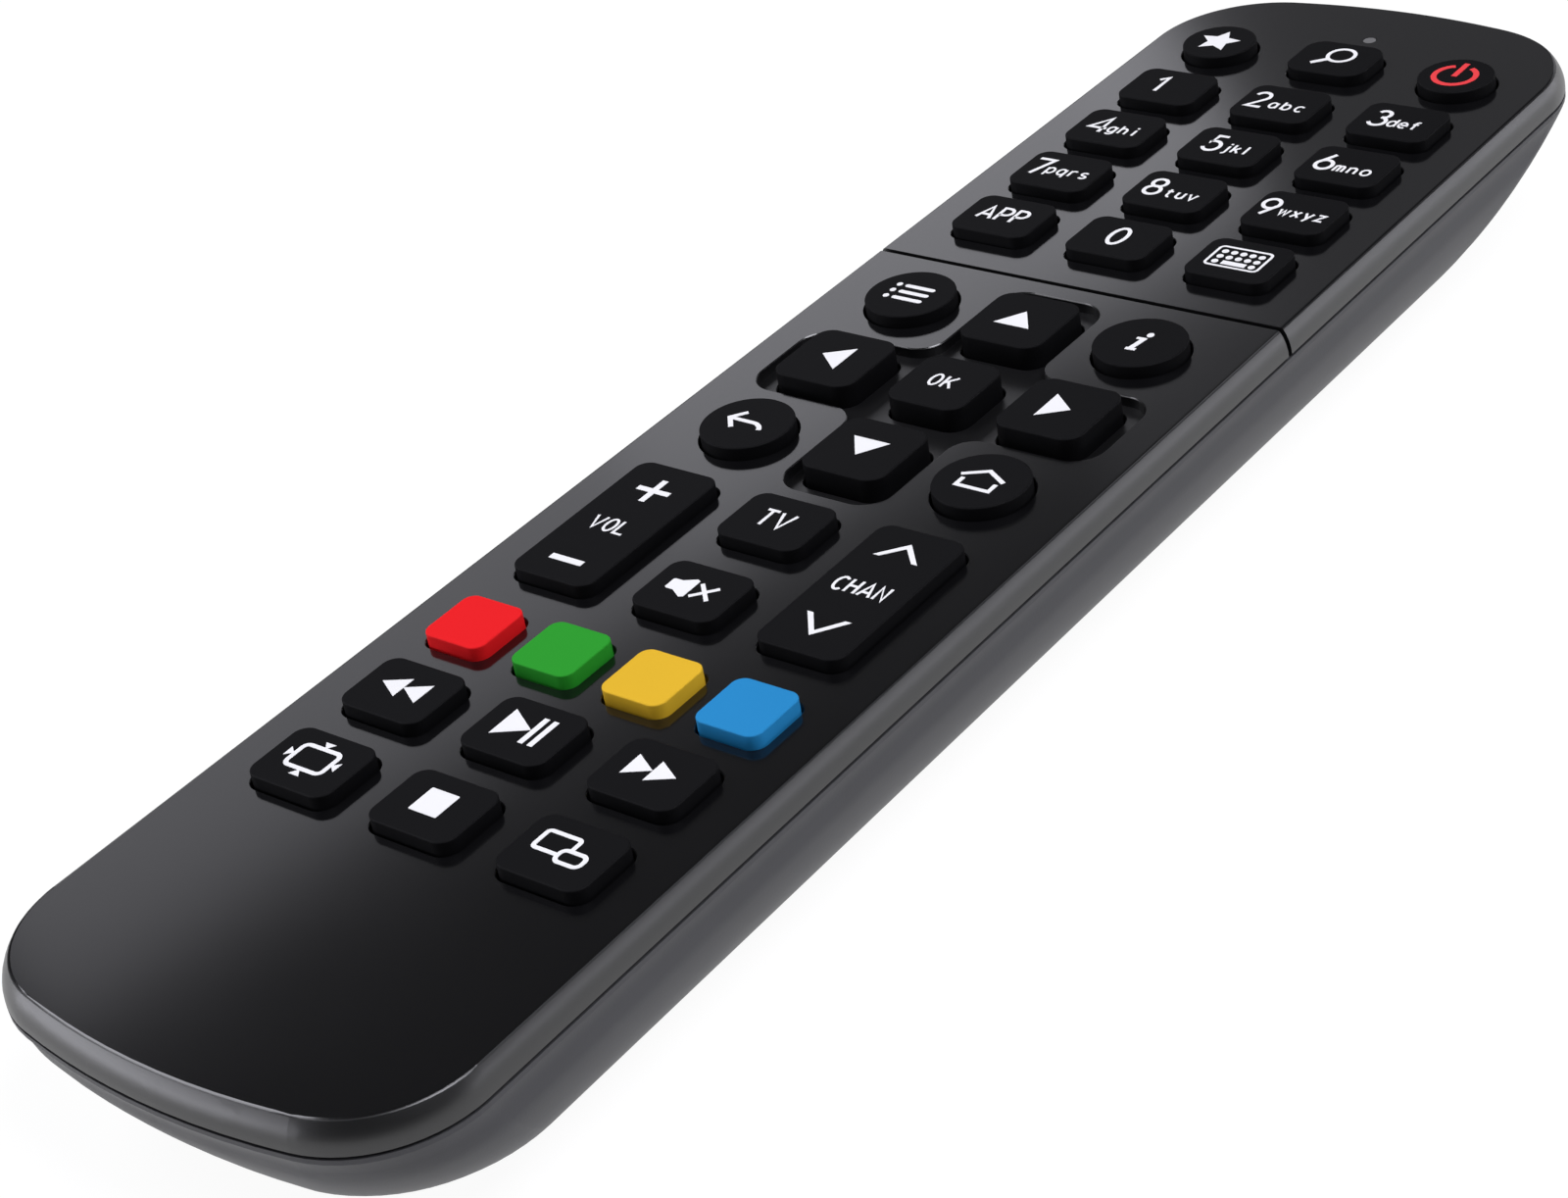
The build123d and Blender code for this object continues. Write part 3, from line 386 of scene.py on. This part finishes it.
class Ink:
    """Collects the flat marks of one legend, in millimetres from the middle of its key."""

    # Ends nearer than this share of the line's width make a closed line, and a corner is
    # mitred as far as this cosine of half its turn.
    closed_within = 0.05
    mitre_limit = 0.55

    def __init__(self, name):
        sizes = bpy.context.scene.remote_legend_sizes
        self.name = name
        self.form = bmesh.new()
        self.top = sizes.print_height
        self.layer = sizes.ink_layer

    def raised(self, faces):
        """Makes flat faces into a thin plate, a hair higher than the last one.

        The faces lie as far below the key's top as the plate rises above it.
        """
        grown = bmesh.ops.extrude_face_region(self.form, geom=faces)
        lifted = [item for item in grown["geom"] if isinstance(item, bmesh.types.BMVert)]
        bmesh.ops.translate(self.form, verts=lifted, vec=(0, 0, 2 * self.top))
        self.top += self.layer

    def plate(self, outline):
        """A filled shape."""
        verts = [self.form.verts.new((x, y, -self.top)) for x, y in outline]
        self.raised([self.form.faces.new(verts)])

    def spot(self, x, y, across, up):
        """A filled ellipse."""
        self.plate(drawn([(x, y, across, up, 0, 350)]))

    def line(self, stroke, width):
        """A band of even width with square ends and mitred corners."""
        points = drawn(stroke)
        closed = (points[0] - points[-1]).length < width * self.closed_within
        if closed:
            points.pop()
        count = len(points)
        sides = []
        for index, point in enumerate(points):
            before = point - points[index - 1] if index or closed else points[1] - point
            after = points[(index + 1) % count] - point if index < count - 1 or closed else before
            before.normalize()
            after.normalize()
            across = Vector((-before.y - after.y, before.x + after.x)).normalized()
            reach = width / 2 / max(across.dot(Vector((-before.y, before.x))), self.mitre_limit)
            sides.append([
                self.form.verts.new((*(point + across * reach * side), -self.top)) for side in (1, -1)
            ])
        pairs = list(zip(sides, sides[1:]))
        if closed:
            pairs.append((sides[-1], sides[0]))
        self.raised([self.form.faces.new((a[0], a[1], b[1], b[0])) for a, b in pairs])

    def digit(self, character, left, right, low, high, width):
        """A number drawn to fill a box."""
        for stroke in DIGITS[character]:
            box = (left + width / 2, low + width / 2, right - left - width, high - low - width)
            self.line(moved(stroke, *box), width)

    def letters(self, word, middle, pitch, base, height, width):
        """Small letters at an even pitch."""
        unit = height - width
        for place, letter in enumerate(word):
            strokes = SMALL_LETTERS[letter]
            reach = [point.x for stroke in strokes for point in drawn(stroke)]
            centre = middle + (place - (len(word) - 1) / 2) * pitch
            start = centre - (min(reach) + max(reach)) / 2 * unit
            for stroke in strokes:
                self.line(moved(stroke, start, base + width / 2, unit, unit), width)

    def capitals(self, word, left, right, low, high, width):
        """Capitals spread evenly between two edges."""
        height = high - low
        wide = [CAPITALS[letter][0] * height for letter in word]
        gap = (right - left - sum(wide)) / (len(word) - 1)
        for letter, span in zip(word, wide):
            for stroke in CAPITALS[letter][1]:
                box = (left + width / 2, low + width / 2, span - width, height - width)
                self.line(moved(stroke, *box), width)
            left += span + gap

    def print_on(self, node, material):
        """Lays the marks on a key's top and lets them ride with it."""
        low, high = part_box(node)
        middle = ((low[0] + high[0]) / 2, (low[1] + high[1]) / 2, high[2])
        bmesh.ops.scale(self.form, verts=self.form.verts, vec=(MM, MM, MM))
        bmesh.ops.translate(self.form, verts=self.form.verts, vec=middle)
        bmesh.ops.recalc_face_normals(self.form, faces=self.form.faces)
        mesh = bpy.data.meshes.new(self.name)
        self.form.to_mesh(mesh)
        self.form.free()
        mesh.materials.append(material)
        piece = bpy.data.objects.new(self.name, mesh)
        bpy.context.scene.collection.objects.link(piece)
        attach(piece, "body_" + node)


def white_ink():
    """The ink of all legends but the power symbol's, made once."""
    material = bpy.data.materials.get("white_ink")
    if material is None:
        colour = bpy.context.scene.remote_finishes.print_white
        material = moulded("white_ink", colour, 0.5, speck=0.02, grain=1200.0, bump=0.02, specular=0.3)
    return material


def star_outline(x, y, outer, inner):
    """The ten corners of a five-pointed star that stands on two points."""
    points = []
    for step in range(10):
        radius = inner if step % 2 else outer
        angle = pi / 2 + step * pi / 5
        points.append((x + radius * cos(angle), y + radius * sin(angle)))
    return points


class RemoteCovers(bpy.types.Operator):
    """Black plastic of the two key-face covers, the infrared window and the light pipe"""

    bl_idname = "remote.covers"
    bl_label = "Covers"

    def execute(self, context):
        finishes = context.scene.remote_finishes
        cover = cover_plastic(finishes)
        dress("top_cover_front", cover)
        dress("top_cover_rear", cover)
        smoked = moulded("infrared_window_plastic", (0.010, 0.002, 0.003), 0.08, grain=300.0, bump=0.004)
        dress("infrared_window", smoked)
        frosted = moulded("light_pipe_plastic", (0.17, 0.17, 0.17), 0.25, grain=500.0, bump=0.01)
        dress("status_light_pipe", frosted)
        return {"FINISHED"}


# The polish of the key face ends at the first depth below it, and the satin of the band
# round its edge starts at the second.
POLISH_END = 0.01 * MM
SATIN_START = 0.08 * MM


def cover_plastic(finishes):
    """Plastic that is polished on the key face and satin on the band round its edge."""
    material = moulded(
        "cover_plastic", finishes.cover, finishes.cover_roughness, grain=700.0, bump=0.002, specular=0.8,
    )
    tree = material.node_tree
    roughness = tree.nodes["Principled BSDF"].inputs["Roughness"]
    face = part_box("top_cover_front")[1][2]
    place = tree.nodes.new("ShaderNodeTexCoord").outputs["Object"]
    split = tree.nodes.new("ShaderNodeSeparateXYZ")
    tree.links.new(place, split.inputs["Vector"])
    rise = tree.nodes.new("ShaderNodeMapRange")
    rise.inputs["From Min"].default_value = face - SATIN_START
    rise.inputs["From Max"].default_value = face - POLISH_END
    rise.inputs["To Min"].default_value = finishes.band_roughness / finishes.cover_roughness
    rise.inputs["To Max"].default_value = 1.0
    tree.links.new(split.outputs["Z"], rise.inputs["Value"])
    product = tree.nodes.new("ShaderNodeMath")
    product.operation = "MULTIPLY"
    tree.links.new(roughness.links[0].from_socket, product.inputs[0])
    tree.links.new(rise.outputs["Result"], product.inputs[1])
    tree.links.new(product.outputs[0], roughness)
    return material


class RemoteLowerCase(bpy.types.Operator):
    """Fine-grained plastic of the lower case and the battery door"""

    bl_idname = "remote.lower_case"
    bl_label = "Lower case"

    def execute(self, context):
        finishes = context.scene.remote_finishes
        grained = moulded(
            "lower_case_plastic", finishes.lower_case, finishes.lower_case_roughness,
            speck=0.10, bump=0.16, specular=0.25,
        )
        dress("bottom_shell", grained)
        dress("battery_door", grained)
        return {"FINISHED"}


class RemoteKeys(bpy.types.Operator):
    """Matt silicone of the black and coloured keys"""

    bl_idname = "remote.keys"
    bl_label = "Keys"

    def execute(self, context):
        finishes = context.scene.remote_finishes
        black = moulded(
            "black_silicone", finishes.key, finishes.key_roughness,
            grain=800.0, bump=0.05, specular=0.09,
        )
        coloured = {}
        for name in ("red", "green", "yellow", "blue"):
            coloured["key_" + name] = moulded(
                name + "_silicone", getattr(finishes, name), finishes.key_roughness,
                speck=0.05, grain=700.0, bump=0.18, specular=0.08,
            )
        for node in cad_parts:
            if node.startswith("key_"):
                dress(node, coloured.get(node, black))
        return {"FINISHED"}


class RemoteInnerParts(bpy.types.Operator):
    """Boards, cells, contacts and screws inside the case"""

    bl_idname = "remote.inner_parts"
    bl_label = "Inner parts"

    def execute(self, context):
        plating = metal("nickel_plate", (0.62, 0.60, 0.56), 0.28)
        for node in ("battery_bridge_strap", "battery_terminal_plates", "battery_springs"):
            dress(node, plating)
        dress("case_screws", metal("zinc_plate", (0.42, 0.42, 0.44), 0.35))
        dress("crystal_resonator", metal("crystal_can", (0.55, 0.55, 0.56), 0.3))
        dress("circuit_board", board_lacquer())
        dress("keypad_mat", moulded("grey_silicone", (0.10, 0.10, 0.11), 0.6, specular=0.3))
        dress("microcontroller", moulded("chip_resin", (0.012, 0.012, 0.013), 0.5))
        dress("emitter_transistor", moulded("transistor_resin", (0.015, 0.015, 0.016), 0.5))
        dress("chip_parts", moulded("chip_ceramic", (0.30, 0.22, 0.14), 0.5))
        dress("reservoir_capacitor", moulded("capacitor_sleeve", (0.012, 0.02, 0.09), 0.3))
        dress("infrared_emitters", moulded("emitter_resin", (0.08, 0.09, 0.16), 0.12, bump=0.005))
        dress("status_light", moulded("light_resin", (0.55, 0.52, 0.30), 0.2))
        sleeve = cell_sleeve()
        dress("aaa_cell_left", sleeve)
        dress("aaa_cell_right", sleeve)
        return {"FINISHED"}


def board_lacquer():
    """Green lacquer with paler copper tracks under it."""
    material = moulded("board_lacquer", (0.012, 0.090, 0.030), 0.35, grain=500.0, bump=0.02)
    tree = material.node_tree
    shader = tree.nodes["Principled BSDF"]
    tracks = tree.nodes.new("ShaderNodeTexBrick")
    tracks.inputs["Scale"].default_value = 260.0
    tracks.inputs["Mortar Size"].default_value = 0.06
    tracks.inputs["Color1"].default_value = (0.010, 0.080, 0.026, 1)
    tracks.inputs["Color2"].default_value = (0.016, 0.105, 0.036, 1)
    tracks.inputs["Mortar"].default_value = (0.040, 0.180, 0.060, 1)
    place = tree.nodes.new("ShaderNodeTexCoord").outputs["Object"]
    tree.links.new(place, tracks.inputs["Vector"])
    tree.links.new(tracks.outputs["Color"], shader.inputs["Base Color"])
    return material


def cell_sleeve():
    """A dry cell's printed sleeve: dark body, copper shoulder, bare steel ends."""
    material = metal("cell_sleeve", (0.5, 0.5, 0.5), 0.3)
    tree = material.node_tree
    shader = tree.nodes["Principled BSDF"]
    place = tree.nodes.new("ShaderNodeTexCoord").outputs["Object"]
    split = tree.nodes.new("ShaderNodeSeparateXYZ")
    tree.links.new(place, split.inputs["Vector"])
    low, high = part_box("aaa_cell_left")
    along = tree.nodes.new("ShaderNodeMapRange")
    along.inputs["From Min"].default_value = low[1]
    along.inputs["From Max"].default_value = high[1]
    tree.links.new(split.outputs["Y"], along.inputs["Value"])
    bands = tree.nodes.new("ShaderNodeValToRGB")
    bands.color_ramp.interpolation = "CONSTANT"
    steel = (0.55, 0.55, 0.56, 1)
    black = (0.02, 0.02, 0.022, 1)
    copper = (0.50, 0.24, 0.07, 1)
    first, second = bands.color_ramp.elements
    first.color = steel
    second.position = 0.03
    second.color = black
    for position, colour in ((0.72, copper), (0.97, steel)):
        bands.color_ramp.elements.new(position).color = colour
    tree.links.new(along.outputs["Result"], bands.inputs["Fac"])
    tree.links.new(bands.outputs["Color"], shader.inputs["Base Color"])
    return material


class RemoteNumberLegends(bpy.types.Operator):
    """Digits and letters printed on the number keys"""

    bl_idname = "remote.number_legends"
    bl_label = "Number legends"

    def execute(self, context):
        sizes = context.scene.remote_legend_sizes
        foot = -sizes.digit_base
        for node, (left, right, word, middle, pitch, base) in NUMBER_KEYS.items():
            ink = Ink("legend_" + node[4:])
            ink.digit(node[4:], left, right, foot, foot + sizes.digit_height, sizes.digit_stroke)
            ink.letters(word, middle, pitch, base, sizes.letter_height, sizes.letter_stroke)
            ink.print_on(node, white_ink())
        return {"FINISHED"}


class RemoteTopRowLegends(bpy.types.Operator):
    """Star, magnifier and power symbol"""

    bl_idname = "remote.top_row_legends"
    bl_label = "Top row legends"

    def execute(self, context):
        star = Ink("legend_star")
        star.plate(star_outline(-0.19, 0.10, 2.66, 1.32))
        star.print_on("key_star", white_ink())
        lens = Ink("legend_search")
        lens.line([(0.40, 0.84, 1.60, 1.66, 0, 360)], 0.47)
        lens.line([(-0.68, -0.46), (-2.22, -1.88)], 0.62)
        lens.print_on("key_search", white_ink())
        power = Ink("legend_power")
        power.line([(-0.15, -0.02, 2.40, 2.40, 115, 425)], 0.66)
        power.line([(-0.17, -0.28), (-0.17, 3.20)], 0.68)
        colour = context.scene.remote_finishes.print_red
        power.print_on("key_power", moulded("red_ink", colour, 0.5, speck=0.02, specular=0.3))
        return {"FINISHED"}


class RemoteWordLegends(bpy.types.Operator):
    """Plain words: APP, OK, TV and the two rocker names with their signs"""

    bl_idname = "remote.word_legends"
    bl_label = "Word legends"

    def execute(self, context):
        # Each word's key, then its left and right edge, foot, top and line width.
        words = (
            ("key_app", "APP", -3.23, 2.88, -1.29, 1.83, 0.40),
            ("key_ok", "OK", -1.80, 1.32, -1.05, 1.35, 0.30),
            ("key_tv", "TV", -2.20, 1.75, -1.33, 1.63, 0.35),
        )
        for node, word, *box in words:
            ink = Ink("legend_" + word.lower())
            ink.capitals(word, *box)
            ink.print_on(node, white_ink())
        volume = Ink("legend_volume")
        volume.capitals("VOL", -2.55, 2.20, -1.82, 0.55, 0.29)
        volume.line([(-2.15, 6.11), (1.90, 6.11)], 0.70)
        volume.line([(-0.12, 4.08), (-0.12, 8.10)], 0.70)
        volume.line([(-2.15, -7.34), (1.90, -7.34)], 0.82)
        volume.print_on("key_volume", white_ink())
        channel = Ink("legend_channel")
        channel.capitals("CHAN", -3.30, 2.87, -0.93, 1.45, 0.31)
        for tip, inside, foot in ((8.32, 7.50, 5.55), (-8.02, -7.20, -4.82)):
            channel.plate([
                (-2.70, foot), (-0.15, tip), (2.42, foot), (1.72, foot), (-0.15, inside), (-2.00, foot),
            ])
        channel.print_on("key_channel", white_ink())
        return {"FINISHED"}


class RemotePadLegends(bpy.types.Operator):
    """Arrows of the navigation pad and the four round keys about it"""

    bl_idname = "remote.pad_legends"
    bl_label = "Navigation legends"

    def execute(self, context):
        arrows = {
            "key_up": ((-0.22, 1.72), (-2.40, -1.37), (2.02, -1.37)),
            "key_down": ((-0.15, -1.38), (2.02, 1.66), (-2.45, 1.66)),
            "key_left": ((-1.80, 0.22), (1.25, 2.35), (1.25, -2.12)),
            "key_right": ((1.35, 0.17), (-1.60, -2.08), (-1.60, 2.38)),
        }
        for node, outline in arrows.items():
            ink = Ink("legend" + node[3:])
            ink.plate(outline)
            ink.print_on(node, white_ink())
        menu = Ink("legend_menu")
        for row in (1.375, 0.075, -1.225):
            menu.spot(-2.36, row, 0.34, 0.37)
            menu.line([(-1.28, row), (1.98, row)], 0.60)
            menu.spot(-1.28, row, 0.30, 0.30)
            menu.spot(1.98, row, 0.30, 0.30)
        menu.print_on("key_menu", white_ink())
        info = Ink("legend_info")
        info.spot(0.28, 1.55, 0.38, 0.44)
        info.line([(0.10, 0.80), (-0.32, -1.70)], 0.60)
        info.line([(-0.78, 0.60), (0.30, 0.66)], 0.40)
        info.line([(-0.78, -1.62), (0.38, -1.54)], 0.46)
        info.print_on("key_info", white_ink())
        back = Ink("legend_back")
        back.line([(-1.15, 1.72), (-2.42, 0.25), (-1.12, -1.32)], 0.52)
        back.line([(-2.25, 0.22), (0.60, -1.05, 1.45, 1.27, 90, 12)], 0.52)
        back.print_on("key_back", white_ink())
        home = Ink("legend_home")
        home.line([(-2.60, 0.32), (-0.12, 1.76), (2.34, 0.35)], 0.48)
        home.line([(-2.00, -0.14), (-2.00, -1.50), (1.80, -1.50), (1.80, -0.14)], 0.48)
        home.print_on("key_home", white_ink())
        return {"FINISHED"}


class RemoteTransportLegends(bpy.types.Operator):
    """Symbols of the playback keys, the mute key and the keyboard key"""

    bl_idname = "remote.transport_legends"
    bl_label = "Playback legends"

    def execute(self, context):
        rewind = Ink("legend_rewind")
        for tip, base in ((-2.88, -0.18), (-0.20, 2.42)):
            rewind.plate([(tip, 0.32), (base, -1.18), (base, 1.76)])
        rewind.print_on("key_rewind", white_ink())
        forward = Ink("legend_fast_forward")
        for base, tip in ((-2.80, -0.20), (-0.18, 2.45)):
            forward.plate([(tip, 0.32), (base, 1.80), (base, -1.18)])
        forward.print_on("key_fast_forward", white_ink())
        play = Ink("legend_play_pause")
        play.plate([(0.60, 0.32), (-2.80, 2.30), (-2.80, -1.68)])
        for middle in (0.92, 2.05):
            play.line([(middle, -1.66), (middle, 2.28)], 0.60)
        play.print_on("key_play_pause", white_ink())
        stop = Ink("legend_stop")
        stop.plate(drawn(rounded(-1.86, 1.44, -1.36, 1.96, 0.15))[:-1])
        stop.print_on("key_stop", white_ink())
        aspect = Ink("legend_aspect")
        aspect.line(rounded(-2.45, 2.06, -1.30, 1.86, 0.62), 0.49)
        aspect.plate([(-0.20, 1.95), (0.44, 2.78), (-0.84, 2.78)])
        aspect.plate([(-0.20, -1.40), (-0.84, -2.28), (0.44, -2.28)])
        aspect.plate([(-2.55, 0.26), (-3.38, 0.92), (-3.38, -0.40)])
        aspect.plate([(2.16, 0.26), (2.95, -0.40), (2.95, 0.92)])
        aspect.print_on("key_aspect", white_ink())
        picture = Ink("legend_picture")
        picture.line([
            (0.68, 0.55), (0.28, 1.52, 0.40, 0.40, 0, 90), (-2.65, 1.52, 0.40, 0.40, 90, 180),
            (-2.65, -0.13, 0.40, 0.40, 180, 270), (-0.30, -0.53),
        ], 0.46)
        picture.line(rounded(-0.10, 2.68, -1.28, 0.33, 0.62), 0.46)
        picture.print_on("key_picture_in_picture", white_ink())
        mute = Ink("legend_mute")
        mute.plate([
            (-2.98, -0.50), (-2.80, -0.65), (-1.93, -0.65), (-0.65, -1.42), (-0.24, -1.20), (-0.24, 1.52),
            (-0.65, 1.70), (-1.93, 1.00), (-2.80, 1.00), (-2.98, 0.85),
        ])
        mute.line([(0.22, 1.28), (2.38, -0.95)], 0.44)
        mute.line([(0.22, -0.95), (2.38, 1.22)], 0.44)
        mute.print_on("key_mute", white_ink())
        keyboard = Ink("legend_keyboard")
        keyboard.line(rounded(-3.36, 2.95, -1.80, 2.25, 0.55), 0.30)
        for row in (1.25, 0.12):
            for column in range(5):
                keyboard.spot(-2.40 + column * 1.11, row, 0.39, 0.39)
        keyboard.spot(-2.40, -1.00, 0.39, 0.39)
        keyboard.spot(2.04, -1.00, 0.39, 0.39)
        keyboard.line([(-1.55, -1.00), (1.30, -1.00)], 0.74)
        keyboard.print_on("key_keyboard", white_ink())
        return {"FINISHED"}


class RemoteStage(bpy.types.Operator):
    """Pale floor, white surround, soft lights and the camera"""

    bl_idname = "remote.stage"
    bl_label = "Stage"

    def execute(self, context):
        floor()
        surround()
        lights()
        camera()
        context.scene.view_settings.view_transform = "Standard"
        return {"FINISHED"}


def floor():
    """A pale floor that shows white with a faint shadow."""
    studio = bpy.context.scene.remote_studio
    form = bmesh.new()
    bmesh.ops.create_grid(form, x_segments=2, y_segments=2, size=studio.floor_reach)
    bmesh.ops.translate(form, verts=form.verts, vec=(0, 0, -studio.floor_gap * MM))
    mesh = bpy.data.meshes.new("floor")
    form.to_mesh(mesh)
    form.free()
    material = bpy.data.materials.new("floor_paper")
    material.use_nodes = True
    tree = material.node_tree
    shader = tree.nodes["Principled BSDF"]
    shader.inputs["Base Color"].default_value = (*studio.floor_colour, 1)
    shader.inputs["Roughness"].default_value = 0.9
    white = tree.nodes.new("ShaderNodeEmission")
    white.inputs["Strength"].default_value = studio.floor_glow
    mix = tree.nodes.new("ShaderNodeMixShader")
    tree.links.new(lit_share(tree, studio.floor_seen, studio.floor_mirrored), mix.inputs[0])
    tree.links.new(shader.outputs[0], mix.inputs[1])
    tree.links.new(white.outputs[0], mix.inputs[2])
    tree.links.new(mix.outputs[0], tree.nodes["Material Output"].inputs["Surface"])
    mesh.materials.append(material)
    ground = bpy.data.objects.new("floor", mesh)
    bpy.context.scene.collection.objects.link(ground)


def lit_share(tree, seen, mirrored=0.0):
    """The share of plain white: one number for what the camera sees, one for reflections."""
    path = tree.nodes.new("ShaderNodeLightPath")
    rays = (("Is Camera Ray", seen), ("Is Transmission Ray", seen), ("Is Glossy Ray", mirrored))
    most = None
    for ray, weight in rays:
        scaled = tree.nodes.new("ShaderNodeMath")
        scaled.operation = "MULTIPLY"
        scaled.inputs[1].default_value = weight
        tree.links.new(path.outputs[ray], scaled.inputs[0])
        if most is None:
            most = scaled.outputs[0]
            continue
        larger = tree.nodes.new("ShaderNodeMath")
        larger.operation = "MAXIMUM"
        tree.links.new(most, larger.inputs[0])
        tree.links.new(scaled.outputs[0], larger.inputs[1])
        most = larger.outputs[0]
    return most


def surround():
    """White where the camera sees it, dim grey where it lights the object."""
    scene = bpy.context.scene
    world = bpy.data.worlds.new("surround")
    world.use_nodes = True
    tree = world.node_tree
    dim = tree.nodes["Background"]
    dim.inputs["Color"].default_value = (1, 1, 1, 1)
    dim.inputs["Strength"].default_value = scene.remote_studio.surround_light
    white = tree.nodes.new("ShaderNodeBackground")
    mix = tree.nodes.new("ShaderNodeMixShader")
    tree.links.new(lit_share(tree, 1.0), mix.inputs[0])
    tree.links.new(dim.outputs[0], mix.inputs[1])
    tree.links.new(white.outputs[0], mix.inputs[2])
    tree.links.new(mix.outputs[0], tree.nodes["World Output"].inputs["Surface"])
    scene.world = world


def lights():
    """Soft lights above and around the remote."""
    # These two give the keys and their legends their level.
    soft_light("left_high", heading=-106, height=50, wide=34, deep=26, glow=4.5)
    soft_light("right_high", heading=84, height=60, wide=30, deep=26, glow=10.2)
    # The polished key face mirrors these, apart from far_right, which is for the band
    # along the right side.
    soft_light("far_end", heading=0, height=12, wide=24, deep=22, glow=0.6)
    soft_light("far_right", heading=45, height=5, wide=60, deep=10, glow=3.4)
    soft_light("far_left", heading=-28, height=26, wide=12, deep=16, glow=0.14)
    soft_light("back_left", heading=-50, height=25.7, wide=31.6, deep=16, glow=0.95, roll=21)
    soft_light("back_left_core", heading=-41, height=22.4, wide=15, deep=16, glow=0.4, roll=21)
    # The satin band mirrors these at the near end.
    soft_light("front_low", heading=-136, height=6, wide=50, deep=12, glow=5.2)
    soft_light("front_high", heading=-136, height=17, wide=50, deep=10, glow=3.0)


def soft_light(name, heading, height, wide, deep, glow, roll=0):
    """An area light aimed at the remote, placed and sized in degrees as seen from there.

    The heading turns from +Y towards +X, and the roll lifts the light's left end. The glow
    is the light's radiance.
    """
    reach = bpy.context.scene.remote_studio.light_distance
    lamp = bpy.data.lights.new(name, "AREA")
    lamp.shape = "RECTANGLE"
    lamp.size = 2 * reach * tan(radians(wide / 2))
    lamp.size_y = 2 * reach * tan(radians(deep / 2))
    lamp.color = bpy.context.scene.remote_studio.light_tint
    lamp.energy = glow * pi * lamp.size * lamp.size_y
    lamp_object = bpy.data.objects.new(name, lamp)
    flat = cos(radians(height)) * reach
    place = Vector((
        flat * sin(radians(heading)), flat * cos(radians(heading)), reach * sin(radians(height)),
    ))
    aim = (-place).to_track_quat("-Z", "Y").to_matrix().to_4x4()
    turn = Matrix.Rotation(radians(roll), 4, "Z")
    lamp_object.matrix_world = Matrix.Translation(place) @ aim @ turn
    bpy.context.scene.collection.objects.link(lamp_object)


# Metres in front of the camera at which it starts to see.
CLIP_START = 0.01


def camera():
    """The camera at the photograph's place."""
    scene = bpy.context.scene
    studio = scene.remote_studio
    lens = bpy.data.cameras.new("camera")
    lens.sensor_fit = "HORIZONTAL"
    lens.sensor_width = studio.sensor_width
    lens.lens = studio.focal_length
    lens.shift_x = studio.shift_right
    lens.clip_start = CLIP_START
    viewer = bpy.data.objects.new("camera", lens)
    turn = Matrix.Rotation(radians(studio.view_heading), 4, "Z")
    tilt = Matrix.Rotation(radians(90 - studio.view_drop), 4, "X")
    roll = Matrix.Rotation(radians(-studio.view_roll), 4, "Z")
    place = Matrix.Translation(Vector(studio.camera_place) * MM)
    viewer.matrix_world = place @ turn @ tilt @ roll
    scene.collection.objects.link(viewer)
    scene.camera = viewer


class RemotePanel(bpy.types.Panel):
    """Lists the steps that dress and stage the remote"""

    bl_idname = "VIEW3D_PT_remote"
    bl_label = "Remote control"
    bl_space_type = "VIEW_3D"
    bl_region_type = "UI"
    bl_category = "Remote"

    def draw(self, context):
        for operator in OPERATORS:
            self.layout.operator(operator.bl_idname)


OPERATORS = (
    RemoteCovers, RemoteLowerCase, RemoteKeys, RemoteInnerParts, RemoteNumberLegends,
    RemoteTopRowLegends, RemoteWordLegends, RemotePadLegends, RemoteTransportLegends, RemoteStage,
)
GROUPS = {
    "remote_finishes": RemoteFinishes,
    "remote_legend_sizes": RemoteLegendSizes,
    "remote_studio": RemoteStudio,
}


def register():
    """Adds the property groups to the scene, and the operators and the panel."""
    for group in GROUPS.values():
        bpy.utils.register_class(group)
    for name, group in GROUPS.items():
        setattr(bpy.types.Scene, name, bpy.props.PointerProperty(type=group))
    for operator in (*OPERATORS, RemotePanel):
        bpy.utils.register_class(operator)


def unregister():
    """Takes away what register adds."""
    for operator in (*OPERATORS, RemotePanel):
        bpy.utils.unregister_class(operator)
    for name, group in GROUPS.items():
        delattr(bpy.types.Scene, name)
        bpy.utils.unregister_class(group)


def main():
    """Dresses and stages the remote."""
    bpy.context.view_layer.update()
    register()
    for operator in OPERATORS:
        area, name = operator.bl_idname.split(".")
        getattr(getattr(bpy.ops, area), name)()


if __name__ == "__main__":
    main()
